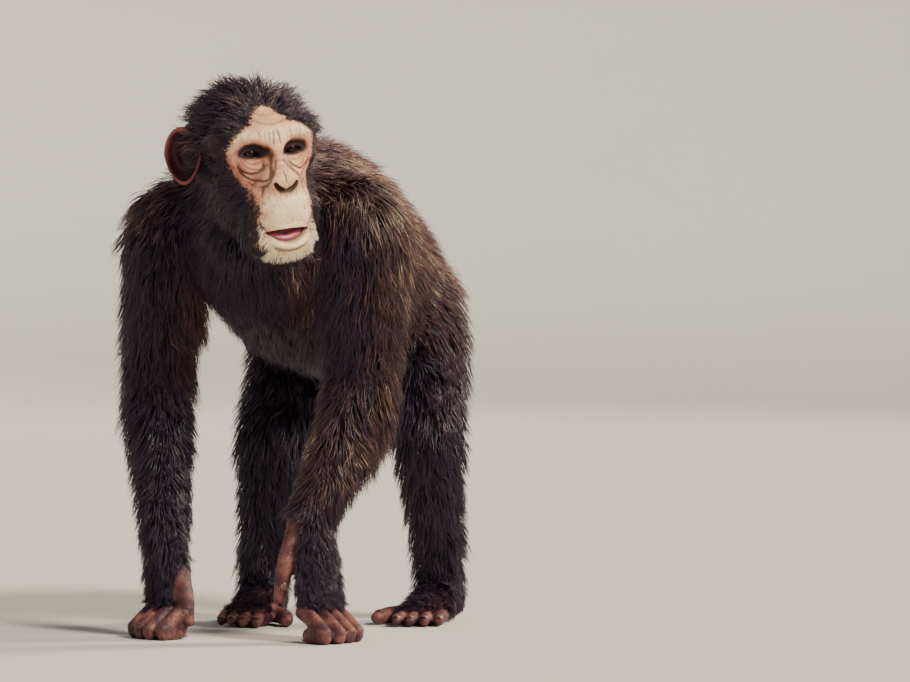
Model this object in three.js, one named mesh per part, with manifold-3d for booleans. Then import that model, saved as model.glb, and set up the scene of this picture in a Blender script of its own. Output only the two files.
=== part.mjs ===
// A chimpanzee standing on its knuckles and soles, its head turned to its left, at life size in mm.
// +Z is up, the trunk faces -Y and +X is the animal's left. The soles rest on Z = 0, and the group is
// centred over the origin. Every form has its size on the skin, and the coat's dense part is added.
import * as THREE from "three";
import { mergeVertices } from "three/addons/utils/BufferGeometryUtils.js";
import Module from "manifold-3d";

const wasm = await Module();
wasm.setup();

// Driving dimensions
const GAP = 0.3; // between pieces that touch
const CORE_SHARE = 0.45; // how far out the dense part of the coat reaches, as a share of the coat
const SEED = 7; // of all that is drawn at random
const LEFT = 1;
const RIGHT = -1;
const SIDES = [LEFT, RIGHT];
const SIDE_NAME = { [LEFT]: "left", [RIGHT]: "right" };
const SHOULDER = { [LEFT]: [142, -172, 592], [RIGHT]: [-152, -172, 592] };
const ELBOW = { [LEFT]: [126, -130, 352], [RIGHT]: [-186, -140, 344] };
const WRIST = { [LEFT]: [72, -204, 158], [RIGHT]: [-148, -206, 124] };
const KNUCKLE = { [LEFT]: [96, -224, 50], [RIGHT]: [-134, -220, 50] }; // middle of the row of knuckles
const FINGERS_POINT = { [LEFT]: 66, [RIGHT]: -28 }; // degrees from straight ahead to its left
const HIP = { [LEFT]: [80, 228, 464], [RIGHT]: [-80, 222, 464] };
const KNEE = { [LEFT]: [138, 122, 272], [RIGHT]: [-98, 92, 272] };
const ANKLE = { [LEFT]: [124, 214, 76], [RIGHT]: [-120, 116, 76] };
const FOOT_POINTS = { [LEFT]: 2, [RIGHT]: 8 }; // degrees, as for the fingers
const HEAD_AT = [12, -275, 697]; // midway between the ears
const HEAD_YAW = 43; // degrees to the animal's left
const HEAD_PITCH = 12; // degrees nose down
const HEAD_ROLL = -7; // degrees, its left side up
const WAIST_PLACE = new THREE.Vector3(0, 70, 0); // where the abdomen begins
const TRUNK_WAIST = 0.46; // the same place as a share of the trunk's path

const X_AXIS = new THREE.Vector3(1, 0, 0);
const Z_AXIS = new THREE.Vector3(0, 0, 1);
const FORWARD = new THREE.Vector3(0, -1, 0);
const BACKWARD = new THREE.Vector3(0, 1, 0);
const ORIGIN = new THREE.Vector3(0, 0, 0);
const radians = THREE.MathUtils.degToRad;
const point = (p) => new THREE.Vector3(...p);
const between = (a, b, share) => point(a).lerp(point(b), share);

// Solids

/** The closed solid inside a geometry, whichever way its faces were wound. */
function solid(geometry) {
  const bare = geometry.clone();
  bare.deleteAttribute("normal");
  bare.deleteAttribute("uv");
  const merged = mergeVertices(bare, 1e-4);
  const triVerts = new Uint32Array(merged.index.array);
  const vertProperties = merged.attributes.position.array;
  const build = () => new wasm.Manifold(new wasm.Mesh({ numProp: 3, vertProperties, triVerts }));
  const made = build();
  if (made.volume() > 0) return made;
  for (let i = 0; i < triVerts.length; i += 3) {
    [triVerts[i], triVerts[i + 1]] = [triVerts[i + 1], triVerts[i]];
  }
  return build();
}

/** A solid as a geometry, with its faces pointing out. */
function geometryOf(made) {
  const mesh = made.getMesh();
  const geometry = new THREE.BufferGeometry();
  geometry.setAttribute("position", new THREE.BufferAttribute(mesh.vertProperties, 3));
  geometry.setIndex(new THREE.BufferAttribute(mesh.triVerts, 1));
  return geometry;
}

const join = (solids) => solids.reduce((sum, one) => sum.add(one));

/** The largest closed body of a solid, which drops scraps that a cut left loose. */
function largest(made) {
  return made.decompose().reduce((best, one) => (one.volume() > best.volume() ? one : best));
}

/** What lies on the side of a plane that its normal points to, with the plane moved back by a little. */
function beyond(made, at, normal, back = 0) {
  const n = normal.clone().normalize();
  return made.trimByPlane(n.toArray(), n.dot(at) - back);
}

/** A closed solid on a sphere's grid, its points from place(share of the rings, share of a turn, pole). */
function gridSolid(sides, rings, place) {
  const grid = new THREE.SphereGeometry(1, sides, rings);
  const position = grid.getAttribute("position");
  for (let i = 0; i < position.count; i++) {
    const ring = Math.floor(i / (sides + 1));
    const turn = (i % (sides + 1)) % sides;
    const at = place(ring / rings, turn / sides, ring === 0 || ring === rings);
    position.setXYZ(i, at.x, at.y, at.z);
  }
  return solid(grid);
}

/** An ellipsoid, turned about the given axis if need be. */
function ellipsoid(at, size, { turn = new THREE.Euler(), sides = 12, rings = 8, grow = 0 } = {}) {
  const ball = new THREE.SphereGeometry(1, sides, rings).scale(...size.map((s) => s + grow));
  const matrix = new THREE.Matrix4().makeRotationFromEuler(turn).setPosition(...at);
  return solid(ball.applyMatrix4(matrix));
}

// Smooth forms

/** A smooth closed form through stations with a place, half-width, half-depth, coat and turn in degrees. */
class Form {
  constructor(stations, { side = X_AXIS, cap = 0.5 } = {}) {
    const curve = (pick) => new THREE.CatmullRomCurve3(stations.map(pick));
    this.path = curve((s) => point(s.at));
    this.size = curve((s) => new THREE.Vector3(s.wide, s.deep, s.coat ?? 0));
    this.turn = curve((s, i) => new THREE.Vector3(s.turn ?? 0, i, 0));
    this.side = side;
    this.cap = cap;
  }

  /** The centre line's place and directions at a share t of the path. */
  frame(t) {
    const along = this.path.getTangent(t);
    const side = this.side.clone().applyAxisAngle(Z_AXIS, radians(this.turn.getPoint(t).x));
    side.addScaledVector(along, -side.dot(along)).normalize();
    return { at: this.path.getPoint(t), along, side, deep: new THREE.Vector3().crossVectors(along, side) };
  }

  /** The half-width, half-depth and coat at t, with the dense coat added on. */
  sizes(t, grow = 0) {
    const size = this.size.getPoint(t);
    const out = size.z * CORE_SHARE + grow;
    return { wide: size.x + out, deep: size.y + out, coat: size.z };
  }

  /** The surface at t and an angle round the form, with its outward direction. */
  surface(t, angle, grow = 0) {
    const { at, along, side, deep } = this.frame(t);
    const size = this.sizes(t, grow);
    const [c, s] = [Math.cos(angle), Math.sin(angle)];
    at.addScaledVector(side, size.wide * c).addScaledVector(deep, size.deep * s);
    const out = side.clone().multiplyScalar(c / size.wide).addScaledVector(deep, s / size.deep);
    out.normalize();
    return { at, out, along, side, deep, ...size };
  }

  /** A share of the path and an angle, moved over the surface by lengths along the form and round it. */
  walk(t, angle, along, round) {
    const step = 0.01;
    const speed = this.path.getPoint(Math.min(t + step, 1)).distanceTo(this.path.getPoint(t)) / step;
    const { wide, deep } = this.sizes(t);
    return [THREE.MathUtils.clamp(t + along / speed, 0.001, 0.999), angle + (2 * round) / (wide + deep)];
  }

  /** The form as a solid, its ends closed by a low cap. */
  solid({ sides = 12, rings = 10, grow = 0 } = {}) {
    return gridSolid(sides, rings, (share, turn, pole) => {
      const t = THREE.MathUtils.clamp((share * rings - 1) / (rings - 2), 0, 1);
      if (!pole) return this.surface(t, turn * 2 * Math.PI, grow).at;
      const { at, along } = this.frame(t);
      const { wide, deep } = this.sizes(t, grow);
      return at.addScaledVector(along, (t - 0.5) * 2 * (this.cap * Math.min(wide, deep) + grow));
    });
  }
}

/** A form between two shares of its path, an end of the path standing for the form's own end. */
function stretch(form, from, to, options) {
  let made = form.solid(options);
  const [low, high] = [form.frame(from), form.frame(to)];
  if (from > 0) made = beyond(made, low.at, low.along, options.grow);
  if (to < 1) made = beyond(made, high.at, high.along.negate(), options.grow);
  return made;
}

/** Stations along a chain of joints, from rows of [bone, share, half-width, half-depth, coat, turn]. */
function stationsAlong(joints, rows) {
  return rows.map(([bone, share, wide, deep, coat, turn = 0]) => {
    const at = between(joints[bone], joints[bone + 1], share).toArray();
    return { at, wide, deep, coat, turn };
  });
}

/** A digit, or one straight stretch of it, through its joints. */
function digit(joints, halfWidths, { sides = 6, grow = 0, flat = 1, side = X_AXIS } = {}) {
  const stations = joints.map((at, i) => ({ at, wide: halfWidths[i], deep: halfWidths[i] * flat }));
  return new Form(stations, { side, cap: 0.65 }).solid({ sides, rings: 2 * joints.length - 1, grow });
}

// The head, in its own frame: -y is forward, +x its left and +z up, from midway between the ears

const HEAD_COAT = 21;
const EYE_HALF_SPAN = 31;
const EYE_HEIGHT = 16;
const EYE_RADIUS = 11.5;
const EYE_SUNK = 9; // from the floor of the orbit back to the middle of the eyeball
const LID = 2.2; // lid over eyeball
const SLIT_SIZE = [11.5, 9, 4.6]; // the opening between the lids
const SLIT_TILT = 6; // degrees that its outer end is raised
const MOUTH_HALF_WIDTH = 31;
const MOUTH_HEIGHT = -93; // middle of the parted lips
const MOUTH_RISE = 6; // of the corners over the middle
const HEAD_CENTRE = [0, -25, -12]; // all of the head is seen from here
const both = (lobe) => SIDES.map((s) => ({ ...lobe, at: [s * lobe.at[0], lobe.at[1], lobe.at[2]] }));
const HEAD_LOBES = [
  { at: [0, 0, 30], size: [67, 80, 52] }, // skull
  { at: [0, 32, 4], size: [62, 62, 50] }, // back of the skull
  ...both({ at: [30, -76, 43], size: [26, 16, 11] }), // brow ridges
  { at: [0, -79, 45], size: [22, 12, 11] }, // brow ridge between the eyes
  ...both({ at: [52, -64, 35], size: [13, 15, 13] }), // their outer ends
  ...both({ at: [55, -56, 16], size: [10, 15, 22] }), // outer rims of the orbits
  ...both({ at: [44, -56, 2], size: [19, 26, 24] }), // cheekbones
  { at: [0, -74, -6], size: [42, 34, 46] }, // middle of the face
  { at: [0, -90, -50], size: [47, 42, 42] }, // muzzle
  { at: [0, -102, -69], size: [49, 31, 25] }, // upper lip
  { at: [0, -91, -98], size: [49, 43, 24] }, // lower jaw
  { at: [0, -111, -110], size: [41, 26, 18] }, // chin
  ...both({ at: [32, -44, -52], size: [28, 46, 44] }), // sides of the jaw
  { at: [0, -24, -60], size: [44, 52, 40] }, // throat
  { at: [0, -114, -14], size: [16, 13, 11] }, // nose
  ...both({ at: [13, -117, -17], size: [10, 10, 8] }), // nostril wings
  { at: [0, -90, 8], size: [8, 14, 24] }, // bridge of the nose
];
const ORBITS = both({ at: [EYE_HALF_SPAN, -101, 17], size: [21, 22, 15] });
const LOBE_BLEND = 20;
const ORBIT_BLEND = 9;
// The bare face's half-width at heights from the chin to the forehead, behind which the coat begins
const FACE_EDGE = [
  [-134, 18],
  [-120, 30],
  [-100, 41],
  [-71, 43],
  [-54, 38],
  [-28, 42],
  [-10, 53],
  [6, 61],
  [26, 62],
  [40, 57],
  [50, 47],
  [60, 31],
  [72, 14],
  [84, 0],
];
const FACE_BACK = -46; // no bare face lies behind this
const COAT_EDGE = 16; // over which the coat comes up to its full depth

/** The distance to an ellipsoid, near enough for blending. */
function lobeDistance(p, { at, size }) {
  const [x, y, z] = [(p.x - at[0]) / size[0], (p.y - at[1]) / size[1], (p.z - at[2]) / size[2]];
  const scaled = Math.hypot(x, y, z);
  return (scaled * (scaled - 1)) / Math.max(Math.hypot(x / size[0], y / size[1], z / size[2]), 1e-6);
}

/** The smaller of two distances, rounded where they are close. */
function blend(a, b, width) {
  const near = Math.max(width - Math.abs(a - b), 0) / width;
  return Math.min(a, b) - (near * near * width) / 4;
}

/** The distance from a point to the skin of the head, negative inside. */
function headDistance(p) {
  const flesh = HEAD_LOBES.reduce((sum, lobe) => blend(sum, lobeDistance(p, lobe), LOBE_BLEND), 1e3);
  return ORBITS.reduce((sum, orbit) => -blend(-sum, lobeDistance(p, orbit), ORBIT_BLEND), flesh);
}

/** The bare face's half-width at a height. */
function faceEdge(height) {
  const upper = FACE_EDGE.findIndex(([z]) => z > height);
  if (upper < 0) return FACE_EDGE.at(-1)[1];
  if (upper === 0) return FACE_EDGE[0][1];
  const [[z0, w0], [z1, w1]] = [FACE_EDGE[upper - 1], FACE_EDGE[upper]];
  return THREE.MathUtils.mapLinear(height, z0, z1, w0, w1);
}

/** How deep the coat lies over a point of the head's skin. */
function headCoat(p) {
  const past = Math.max(Math.abs(p.x) - faceEdge(p.z), p.y - FACE_BACK);
  return HEAD_COAT * THREE.MathUtils.smoothstep(past, 0, COAT_EDGE);
}

/** Where the line from `from` in a direction leaves the skin of the head, seen from outside. */
function skinPoint(from, direction, level = 0, reach = 240) {
  const at = (r) => from.clone().addScaledVector(direction, r);
  let outside = reach;
  while (outside > 0 && headDistance(at(outside)) > level) outside -= 3;
  let inside = outside;
  outside += 3;
  for (let i = 0; i < 16; i++) {
    const middle = (inside + outside) / 2;
    if (headDistance(at(middle)) > level) outside = middle;
    else inside = middle;
  }
  return at(inside);
}

/** The head's flesh as a solid, with its grid's pole at the muzzle, where the rings lie closest. */
function headFlesh({ sides = 30, rings = 23, grow = 0, level = 0 } = {}) {
  const centre = point(HEAD_CENTRE);
  return gridSolid(sides, rings, (share, turn) => {
    const tilt = Math.PI * share ** 1.3;
    const angle = turn * 2 * Math.PI;
    const round = Math.sin(tilt);
    const direction = new THREE.Vector3(Math.cos(angle) * round, -Math.cos(tilt), Math.sin(angle) * round);
    const at = skinPoint(centre, direction, level);
    return at.addScaledVector(direction, headCoat(at) * CORE_SHARE + grow);
  });
}

const EYE = Object.fromEntries(
  SIDES.map((s) => {
    const floor = skinPoint(new THREE.Vector3(s * EYE_HALF_SPAN, 0, EYE_HEIGHT), FORWARD);
    return [s, [floor.x, floor.y + EYE_SUNK, floor.z]];
  }),
);

/** The lids over one eyeball, as a ball with a slit that the head then takes in. */
function lids(s) {
  return ellipsoid(EYE[s], Array(3).fill(EYE_RADIUS + GAP + LID), { sides: 10, rings: 7 });
}

/** The slit between the lids. */
function slit(s) {
  const at = [EYE[s][0], EYE[s][1] - EYE_RADIUS, EYE[s][2]];
  const turn = new THREE.Euler(0, radians(s * SLIT_TILT), 0);
  return ellipsoid(at, SLIT_SIZE, { sides: 10, rings: 5, turn });
}

/** A form across the mouth: its height from the lips' line, its reach and its thickness. */
function mouthForm({ up, out, high, deep, share = 1 }) {
  const steps = [-1, -0.6, 0, 0.6, 1].map((k) => k * share);
  const stations = steps.map((k) => {
    const height = MOUTH_HEIGHT + MOUTH_RISE * k * k + up;
    const at = skinPoint(new THREE.Vector3(k * MOUTH_HALF_WIDTH, -40, height), FORWARD);
    at.addScaledVector(FORWARD, out);
    const thin = 1 - 0.72 * k * k;
    return { at: at.toArray(), wide: high * thin, deep: deep * (1 - 0.3 * k * k) };
  });
  return new Form(stations, { side: Z_AXIS, cap: 0.4 });
}

const MOUTH = mouthForm({ up: 0, out: -4, high: 7.5, deep: 17 });
const LOWER_LIP = mouthForm({ up: -12.5, out: -2.5, high: 6, deep: 6.5 });
const UPPER_LIP = mouthForm({ up: 10, out: -2, high: 4, deep: 4.5 });

/** One nostril's hollow, its outer end raised. */
function nostril(s) {
  const at = skinPoint(new THREE.Vector3(s * 10.5, -60, -25), FORWARD);
  const turn = new THREE.Euler(0, radians(-s * 24), radians(s * 12));
  return ellipsoid(at.toArray(), [7, 7, 3.2], { turn, sides: 8, rings: 5 });
}

/** The head with its lids, lips, mouth and nostrils. */
function headSolid(grow) {
  const flesh = headFlesh({ grow });
  if (grow) return flesh;
  const mouthParts = [LOWER_LIP, UPPER_LIP].map((lip) => lip.solid({ sides: 6, rings: 8 }));
  const full = join([flesh, ...SIDES.map(lids), ...mouthParts]);
  return [MOUTH.solid({ sides: 8, rings: 8 }), ...SIDES.map(slit), ...SIDES.map(nostril)].reduce(
    (left, cut) => left.subtract(cut),
    full,
  );
}

/** The tongue fills the parted mouth up to a little behind the lips. */
function tongueSolid(grow) {
  const hollow = MOUTH.solid({ sides: 8, rings: 8, grow: grow - GAP });
  return hollow.intersect(headFlesh({ level: -5, sides: 16, rings: 12 }));
}

const EAR_AT = [91, 28, -1];
const EAR_OUT = [0.8, -0.6, 0.05]; // the way the cup opens
const EAR_HALF_WIDTH = 29;
const EAR_HALF_HEIGHT = 42;
// The cup's section from the middle of its back over the rim to its bowl: [share of radius, height]
const EAR_RIM = 3; // the first of the section's points on the rim
const EAR_BOWL = 5; // and the first inside the cup
const EAR_SECTION = [
  [0, -17],
  [0.5, -15],
  [0.84, -8],
  [1, 2],
  [0.95, 5.5],
  [0.86, 2],
  [0.72, -6],
  [0.4, -11.5],
  [0, -13],
];

/** One ear: a cup with a rolled rim, longer than wide and drawn down to its lobe. */
function earSolid(s, grow) {
  const section = EAR_SECTION.map(([r, h], i) => {
    const inwards = i < EAR_BOWL ? 0 : (2 * grow) / EAR_HALF_WIDTH;
    return new THREE.Vector2(Math.max(r - inwards, 0), i < EAR_RIM ? h - grow : h + grow);
  });
  const cup = new THREE.LatheGeometry(section, 14);
  const position = cup.getAttribute("position");
  const out = new THREE.Vector3(s * EAR_OUT[0], EAR_OUT[1], EAR_OUT[2]).normalize();
  const back = new THREE.Vector3().crossVectors(Z_AXIS, out).multiplyScalar(s).normalize();
  const up = new THREE.Vector3().crossVectors(out, back).multiplyScalar(s).normalize();
  for (let i = 0; i < position.count; i++) {
    const [x, height, z] = [position.getX(i), position.getY(i), position.getZ(i)];
    const narrow = z < 0 ? 1 + 0.28 * z : 1; // towards the lobe
    const at = new THREE.Vector3(s * EAR_AT[0], EAR_AT[1], EAR_AT[2])
      .addScaledVector(back, x * narrow * (EAR_HALF_WIDTH + grow))
      .addScaledVector(up, z * (EAR_HALF_HEIGHT + grow))
      .addScaledVector(out, height + 4 * x);
    position.setXYZ(i, at.x, at.y, at.z);
  }
  return solid(cup);
}

// The trunk and neck

const TRUNK = new Form([
  { at: [0, -240, 590], wide: 62, deep: 70, coat: 24 },
  { at: [0, -198, 586], wide: 104, deep: 112, coat: 28 },
  { at: [0, -110, 576], wide: 122, deep: 134, coat: 32 },
  { at: [0, 0, 548], wide: 124, deep: 142, coat: 32 },
  { at: [0, 100, 518], wide: 124, deep: 132, coat: 30 },
  { at: [0, 200, 490], wide: 116, deep: 114, coat: 30 },
  { at: [0, 278, 468], wide: 98, deep: 92, coat: 28 },
  { at: [0, 318, 454], wide: 60, deep: 60, coat: 26 },
  { at: [0, 336, 447], wide: 26, deep: 28, coat: 22 },
]);
const NECK = new Form([
  { at: [0, -100, 604], wide: 92, deep: 88, coat: 30 },
  { at: [2, -190, 640], wide: 84, deep: 80, coat: 30 },
  { at: [8, -256, 680], wide: 60, deep: 58, coat: 20 },
]);
// From the right shoulder over the root of the neck to the left one
const YOKE = new Form(
  [
    { at: [-116, -172, 606], wide: 44, deep: 40, coat: 28 },
    { at: [-60, -168, 634], wide: 58, deep: 50, coat: 30 },
    { at: [0, -166, 644], wide: 66, deep: 56, coat: 30 },
    { at: [60, -168, 634], wide: 58, deep: 50, coat: 30 },
    { at: [116, -172, 606], wide: 44, deep: 40, coat: 28 },
  ],
  { side: BACKWARD },
);
const NECK_ROOT = 0.45; // where along its path the neck leaves the chest
const NECK_TOP = 0.72; // and where it meets the head

const trunkSolid = (grow) => TRUNK.solid({ sides: 18, rings: 13, grow });

/** The neck between two shares of its path. */
const neckBetween = (from, to, grow) => stretch(NECK, from, to, { sides: 14, rings: 7, grow });

/** The chest with the root of the neck and the yoke of the shoulders. */
function chestSolid(grow) {
  const front = beyond(trunkSolid(grow), WAIST_PLACE, FORWARD, grow);
  return join([front, neckBetween(0, NECK_ROOT, grow), YOKE.solid({ sides: 12, rings: 8, grow })]);
}

/** The trunk behind the waist. */
const abdomenSolid = (grow) => beyond(trunkSolid(grow), WAIST_PLACE, BACKWARD, grow);

// The arms

/** Rows for a limb's stations: [bone, share of the bone, half-width, half-depth, coat, turn]. */
const armRows = (turn) => [
  [0, -0.2, 22, 26, 26],
  [0, -0.12, 44, 48, 27],
  [0, 0.12, 56, 60, 28],
  [0, 0.5, 45, 50, 28],
  [0, 0.9, 37, 41, 24],
  [1, 0.25, 36, 41, 22],
  [1, 0.6, 31, 34, 18, turn * 0.4],
  [1, 0.95, 28, 23, 13, turn],
  [2, 0.45, 35, 20, 8, turn],
  [2, 1, 40, 17, 0, turn],
];
const armJoints = (s) => [SHOULDER[s], ELBOW[s], WRIST[s], KNUCKLE[s]];
const ELBOW_SHARE = 4.4 / 9; // of the arm's path
const WRIST_SHARE = 7 / 9;
const armForm = (s) => new Form(stationsAlong(armJoints(s), armRows(FINGERS_POINT[s])));
const ARM = Object.fromEntries(SIDES.map((s) => [s, armForm(s)]));

/** An arm between two shares of its path. */
const armBetween = (s, from, to, grow) => stretch(ARM[s], from, to, { sides: 12, rings: 14, grow });

const FINGER_NAMES = ["index", "middle", "ring", "little"];
const FINGER_PITCH = 21.5;
const FINGER_REACH = [44, 49, 46, 39]; // from the knuckle row forward to the bent joint
const FINGER_HALF_WIDTHS = [10.6, 10.4, 8.4]; // at its joints
const FINGER_DEPTH = 1.2; // its half-depth over its half-width

/** A hand's or foot's directions on the floor: ahead along its digits, and away from its first digit. */
function spread(s, degrees) {
  const ahead = FORWARD.clone().applyAxisAngle(Z_AXIS, radians(degrees));
  return { ahead, outward: X_AXIS.clone().multiplyScalar(s).applyAxisAngle(Z_AXIS, radians(degrees)) };
}

/** A place from a hand's or foot's middle: ahead, outward and up from the floor. */
function placeFrom(origin, { ahead, outward }, forward, across, height) {
  const at = point(origin).addScaledVector(ahead, forward).addScaledVector(outward, across);
  return at.setZ(height).toArray();
}

/** One finger, bent double at its middle joint, with the back of its outer half on the floor. */
function fingerSolid(s, i, grow) {
  const way = spread(s, FINGERS_POINT[s]);
  const across = (i - 1.5) * FINGER_PITCH;
  const reach = FINGER_REACH[i];
  const place = (forward, height) => {
    return placeFrom(KNUCKLE[s], way, forward, across * (1 + forward * 0.002), height);
  };
  const rootHeight = KNUCKLE[s][2] - Math.abs(i - 1.3) * 3;
  const [root, bent, tip] = [place(-2, rootHeight), place(reach, 12), place(reach - 38, 13)];
  const options = { grow, flat: FINGER_DEPTH, side: way.outward };
  const first = digit([root, bent], FINGER_HALF_WIDTHS.slice(0, 2), options);
  const rest = digit([bent, tip], FINGER_HALF_WIDTHS.slice(1), options);
  return beyond(first.add(rest), ORIGIN, Z_AXIS);
}

const THUMB_RADII = [14, 12, 8.5];
const THUMB_JOINTS = {
  [LEFT]: [
    [58, -212, 176],
    [50, -240, 112],
    [43, -248, 60],
  ],
  [RIGHT]: [
    [-120, -214, 98],
    [-105, -236, 60],
    [-97, -244, 24],
  ],
};

/** The thumb, hanging along the inner edge of the hand. */
function thumbSolid(s, grow) {
  return digit(THUMB_JOINTS[s], THUMB_RADII, { grow });
}

// The legs

const LEG_ROWS = [
  [0, -0.22, 30, 34, 24],
  [0, -0.1, 58, 64, 27],
  [0, 0.25, 60, 74, 28],
  [0, 0.65, 48, 58, 26],
  [0, 0.98, 40, 46, 22],
  [1, 0.3, 36, 44, 20],
  [1, 0.65, 32, 35, 20],
  [1, 1, 28, 32, 17],
  [2, 1, 27, 34, 6],
];
const KNEE_SHARE = 4.1 / 8; // of the leg's path
const ANKLE_SHARE = 7 / 8;
const legJoints = (s) => [HIP[s], KNEE[s], ANKLE[s], [ANKLE[s][0], ANKLE[s][1], 34]];
const LEG = Object.fromEntries(SIDES.map((s) => [s, new Form(stationsAlong(legJoints(s), LEG_ROWS))]));

/** A leg between two shares of its path. */
const legBetween = (s, from, to, grow) => stretch(LEG[s], from, to, { sides: 12, rings: 14, grow });

// The sole from heel to ball: [forward of the ankle, half-width, half-depth, height of middle, coat]
const FOOT_ROWS = [
  [-40, 22, 22, 21, 3],
  [-12, 27, 30, 29, 6],
  [30, 30, 27, 26, 6],
  [74, 37, 19, 17.5, 4],
  [108, 38, 15, 13, 1],
];
const BALL = 104; // forward of the ankle
const TOE_NAMES = ["second", "third", "fourth", "fifth"];
const TOE_PITCH = 18;
const TOE_REACH = [50, 52, 47, 38];
const TOE_SETBACK = 4; // of each toe's root behind the one before it
const TOE_HALF_WIDTHS = [8.8, 8.2, 7];
const TOE_DEPTH = 1.15;
const BIG_TOE_RADII = [14, 12.5, 10];

/** The foot: the leg's end over its sole. */
function footSolid(s, grow) {
  const way = spread(s, FOOT_POINTS[s]);
  const stations = FOOT_ROWS.map(([forward, wide, deep, height, coat]) => ({
    at: placeFrom(ANKLE[s], way, forward, 0, height),
    wide,
    deep,
    coat,
  }));
  const sole = new Form(stations, { side: way.outward, cap: 0.7 }).solid({ sides: 12, rings: 8, grow });
  return beyond(sole.add(legBetween(s, ANKLE_SHARE, 1, grow)), ORIGIN, Z_AXIS);
}

/** One of the four outer toes. */
function toeSolid(s, i, grow) {
  const way = spread(s, FOOT_POINTS[s]);
  const across = (i - 1.1) * TOE_PITCH;
  const place = (forward, height) => {
    const from = BALL + forward - i * TOE_SETBACK;
    return placeFrom(ANKLE[s], way, from, across * (1 + forward * 0.003), height);
  };
  const joints = [place(-6, 14), place(TOE_REACH[i] * 0.55, 12.5), place(TOE_REACH[i] - 7, 8)];
  const made = digit(joints, TOE_HALF_WIDTHS, { grow, flat: TOE_DEPTH, side: way.outward });
  return beyond(made, ORIGIN, Z_AXIS);
}

/** The big toe, set apart on the inner side like a thumb. */
function bigToeSolid(s, grow) {
  const way = spread(s, FOOT_POINTS[s]);
  const place = (forward, across, height) => placeFrom(ANKLE[s], way, forward, across, height);
  const joints = [place(52, -26, 16), place(86, -50, 13.5), place(116, -62, 10)];
  return beyond(digit(joints, BIG_TOE_RADII, { grow, side: way.outward }), ORIGIN, Z_AXIS);
}

// The long coat, as locks that grow from each piece

const random = (() => {
  let state = SEED;
  return (low, high) => {
    state = (state + 0x6d2b79f5) | 0;
    let mixed = Math.imul(state ^ (state >>> 15), 1 | state);
    mixed = (mixed + Math.imul(mixed ^ (mixed >>> 7), 61 | mixed)) ^ mixed;
    return low + (high - low) * (((mixed ^ (mixed >>> 14)) >>> 0) / 4294967296);
  };
})();

const LOCK_ROOT = 9; // how deep a lock's root is sunk in the core
const LOCK_BELOW = 2.7; // how far a lock's edges lie under its middle line
const LOCK_ABOVE = 6.3; // and how far its ridge stands over it
const LOCK_GROWTH = 0.4; // how much larger a lock's section is made for each mm that it is to grow
const LOCK_END_GROWTH = 20; // and how far its ends move out
// A lock from root to tip: [share of its length, of its width and of the coat's height over the core]
const LOCK_RINGS = [
  [0, 0.75, 0],
  [0.45, 0.85, 0.55],
  [1, 0, 1],
];

/** A flat, tapered lock on the surface that spot(share of its length, mm sideways) gives. */
function lock(spot, { width, grow = 0 }) {
  const rings = LOCK_RINGS.map(([share, wide, high]) => {
    const half = (width * wide) / 2;
    const corner = (aside, lift) => {
      const { at, out, coat } = spot(share, aside);
      const height = share === 0 ? -LOCK_ROOT : coat * (1 - CORE_SHARE) * high;
      return at.clone().addScaledVector(out, height + (wide ? lift : 0));
    };
    return [corner(0, LOCK_ABOVE), corner(half, -LOCK_BELOW), corner(-half, -LOCK_BELOW)];
  });
  const middles = rings.map(([a, b, c]) => a.clone().add(b).add(c).divideScalar(3));
  const aim = (i, j) => middles[i].clone().sub(middles[j]).setLength(grow * LOCK_END_GROWTH);
  const ends = grow ? [aim(0, 1), ORIGIN, aim(2, 1)] : [ORIGIN, ORIGIN, ORIGIN];
  const place = (ring, corner) => {
    const outwards = corner.clone().sub(middles[ring]).multiplyScalar(1 + grow * LOCK_GROWTH);
    return outwards.add(middles[ring]).add(ends[ring]);
  };
  const cone = new THREE.ConeGeometry(1, 1, 3, rings.length - 1);
  const position = cone.getAttribute("position");
  for (let i = 0; i < position.count; i++) {
    const ring = Math.round((position.getY(i) + 0.5) * (rings.length - 1));
    const onAxis = Math.hypot(position.getX(i), position.getZ(i)) < 1e-6;
    const third = Math.atan2(position.getX(i), position.getZ(i)) / ((2 * Math.PI) / 3);
    const corner = Math.round(third + 3) % 3;
    const at = place(ring, onAxis && ring === 0 ? middles[0] : rings[ring][corner]);
    position.setXYZ(i, at.x, at.y, at.z);
  }
  return solid(cone);
}

/** The lie of the trunk's coat: backwards, and down over the flanks. */
const trunkLie = (angle) => [0.9, 0.45 * Math.cos(angle)];
/** The lie down a limb. */
const downLie = () => [1, 0];
/** The lie over a forearm: down, and round to its back and outer edge. */
const forearmLie = (s) => (angle) => [0.75, -0.7 * Math.cos(angle) - 0.35 * s * Math.sin(angle)];
/** The lie of the nape's coat: from the head back over the shoulders. */
const napeLie = () => [-1, 0];

/** Rows of locks over a form between two shares of its path, as functions of how much to grow them. */
function rowsOn(form, { from, to, rows, around, length, lie }) {
  const made = [];
  for (let row = 0; row < rows; row++) {
    for (let i = 0; i < around; i++) {
      const t = THREE.MathUtils.lerp(from, to, (row + 0.5 + random(-0.2, 0.2)) / rows);
      const angle = (2 * Math.PI * (i + 0.5 * (row % 2) + random(-0.08, 0.08))) / around;
      const size = form.sizes(t);
      const width = ((Math.PI * (size.wide + size.deep)) / around) * random(0.74, 0.88);
      const reach = length * random(0.88, 1.12);
      const [along, round] = lie(angle);
      const swing = random(-0.1, 0.1);
      const spot = (share, aside) => {
        const step = reach * share;
        const turned = step * (round + swing * share) + aside * along;
        const [u, a] = form.walk(t, angle, step * along - aside * round, turned);
        return form.surface(u, a);
      };
      made.push((grow) => lock(spot, { width, grow }));
    }
  }
  return made;
}

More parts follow.
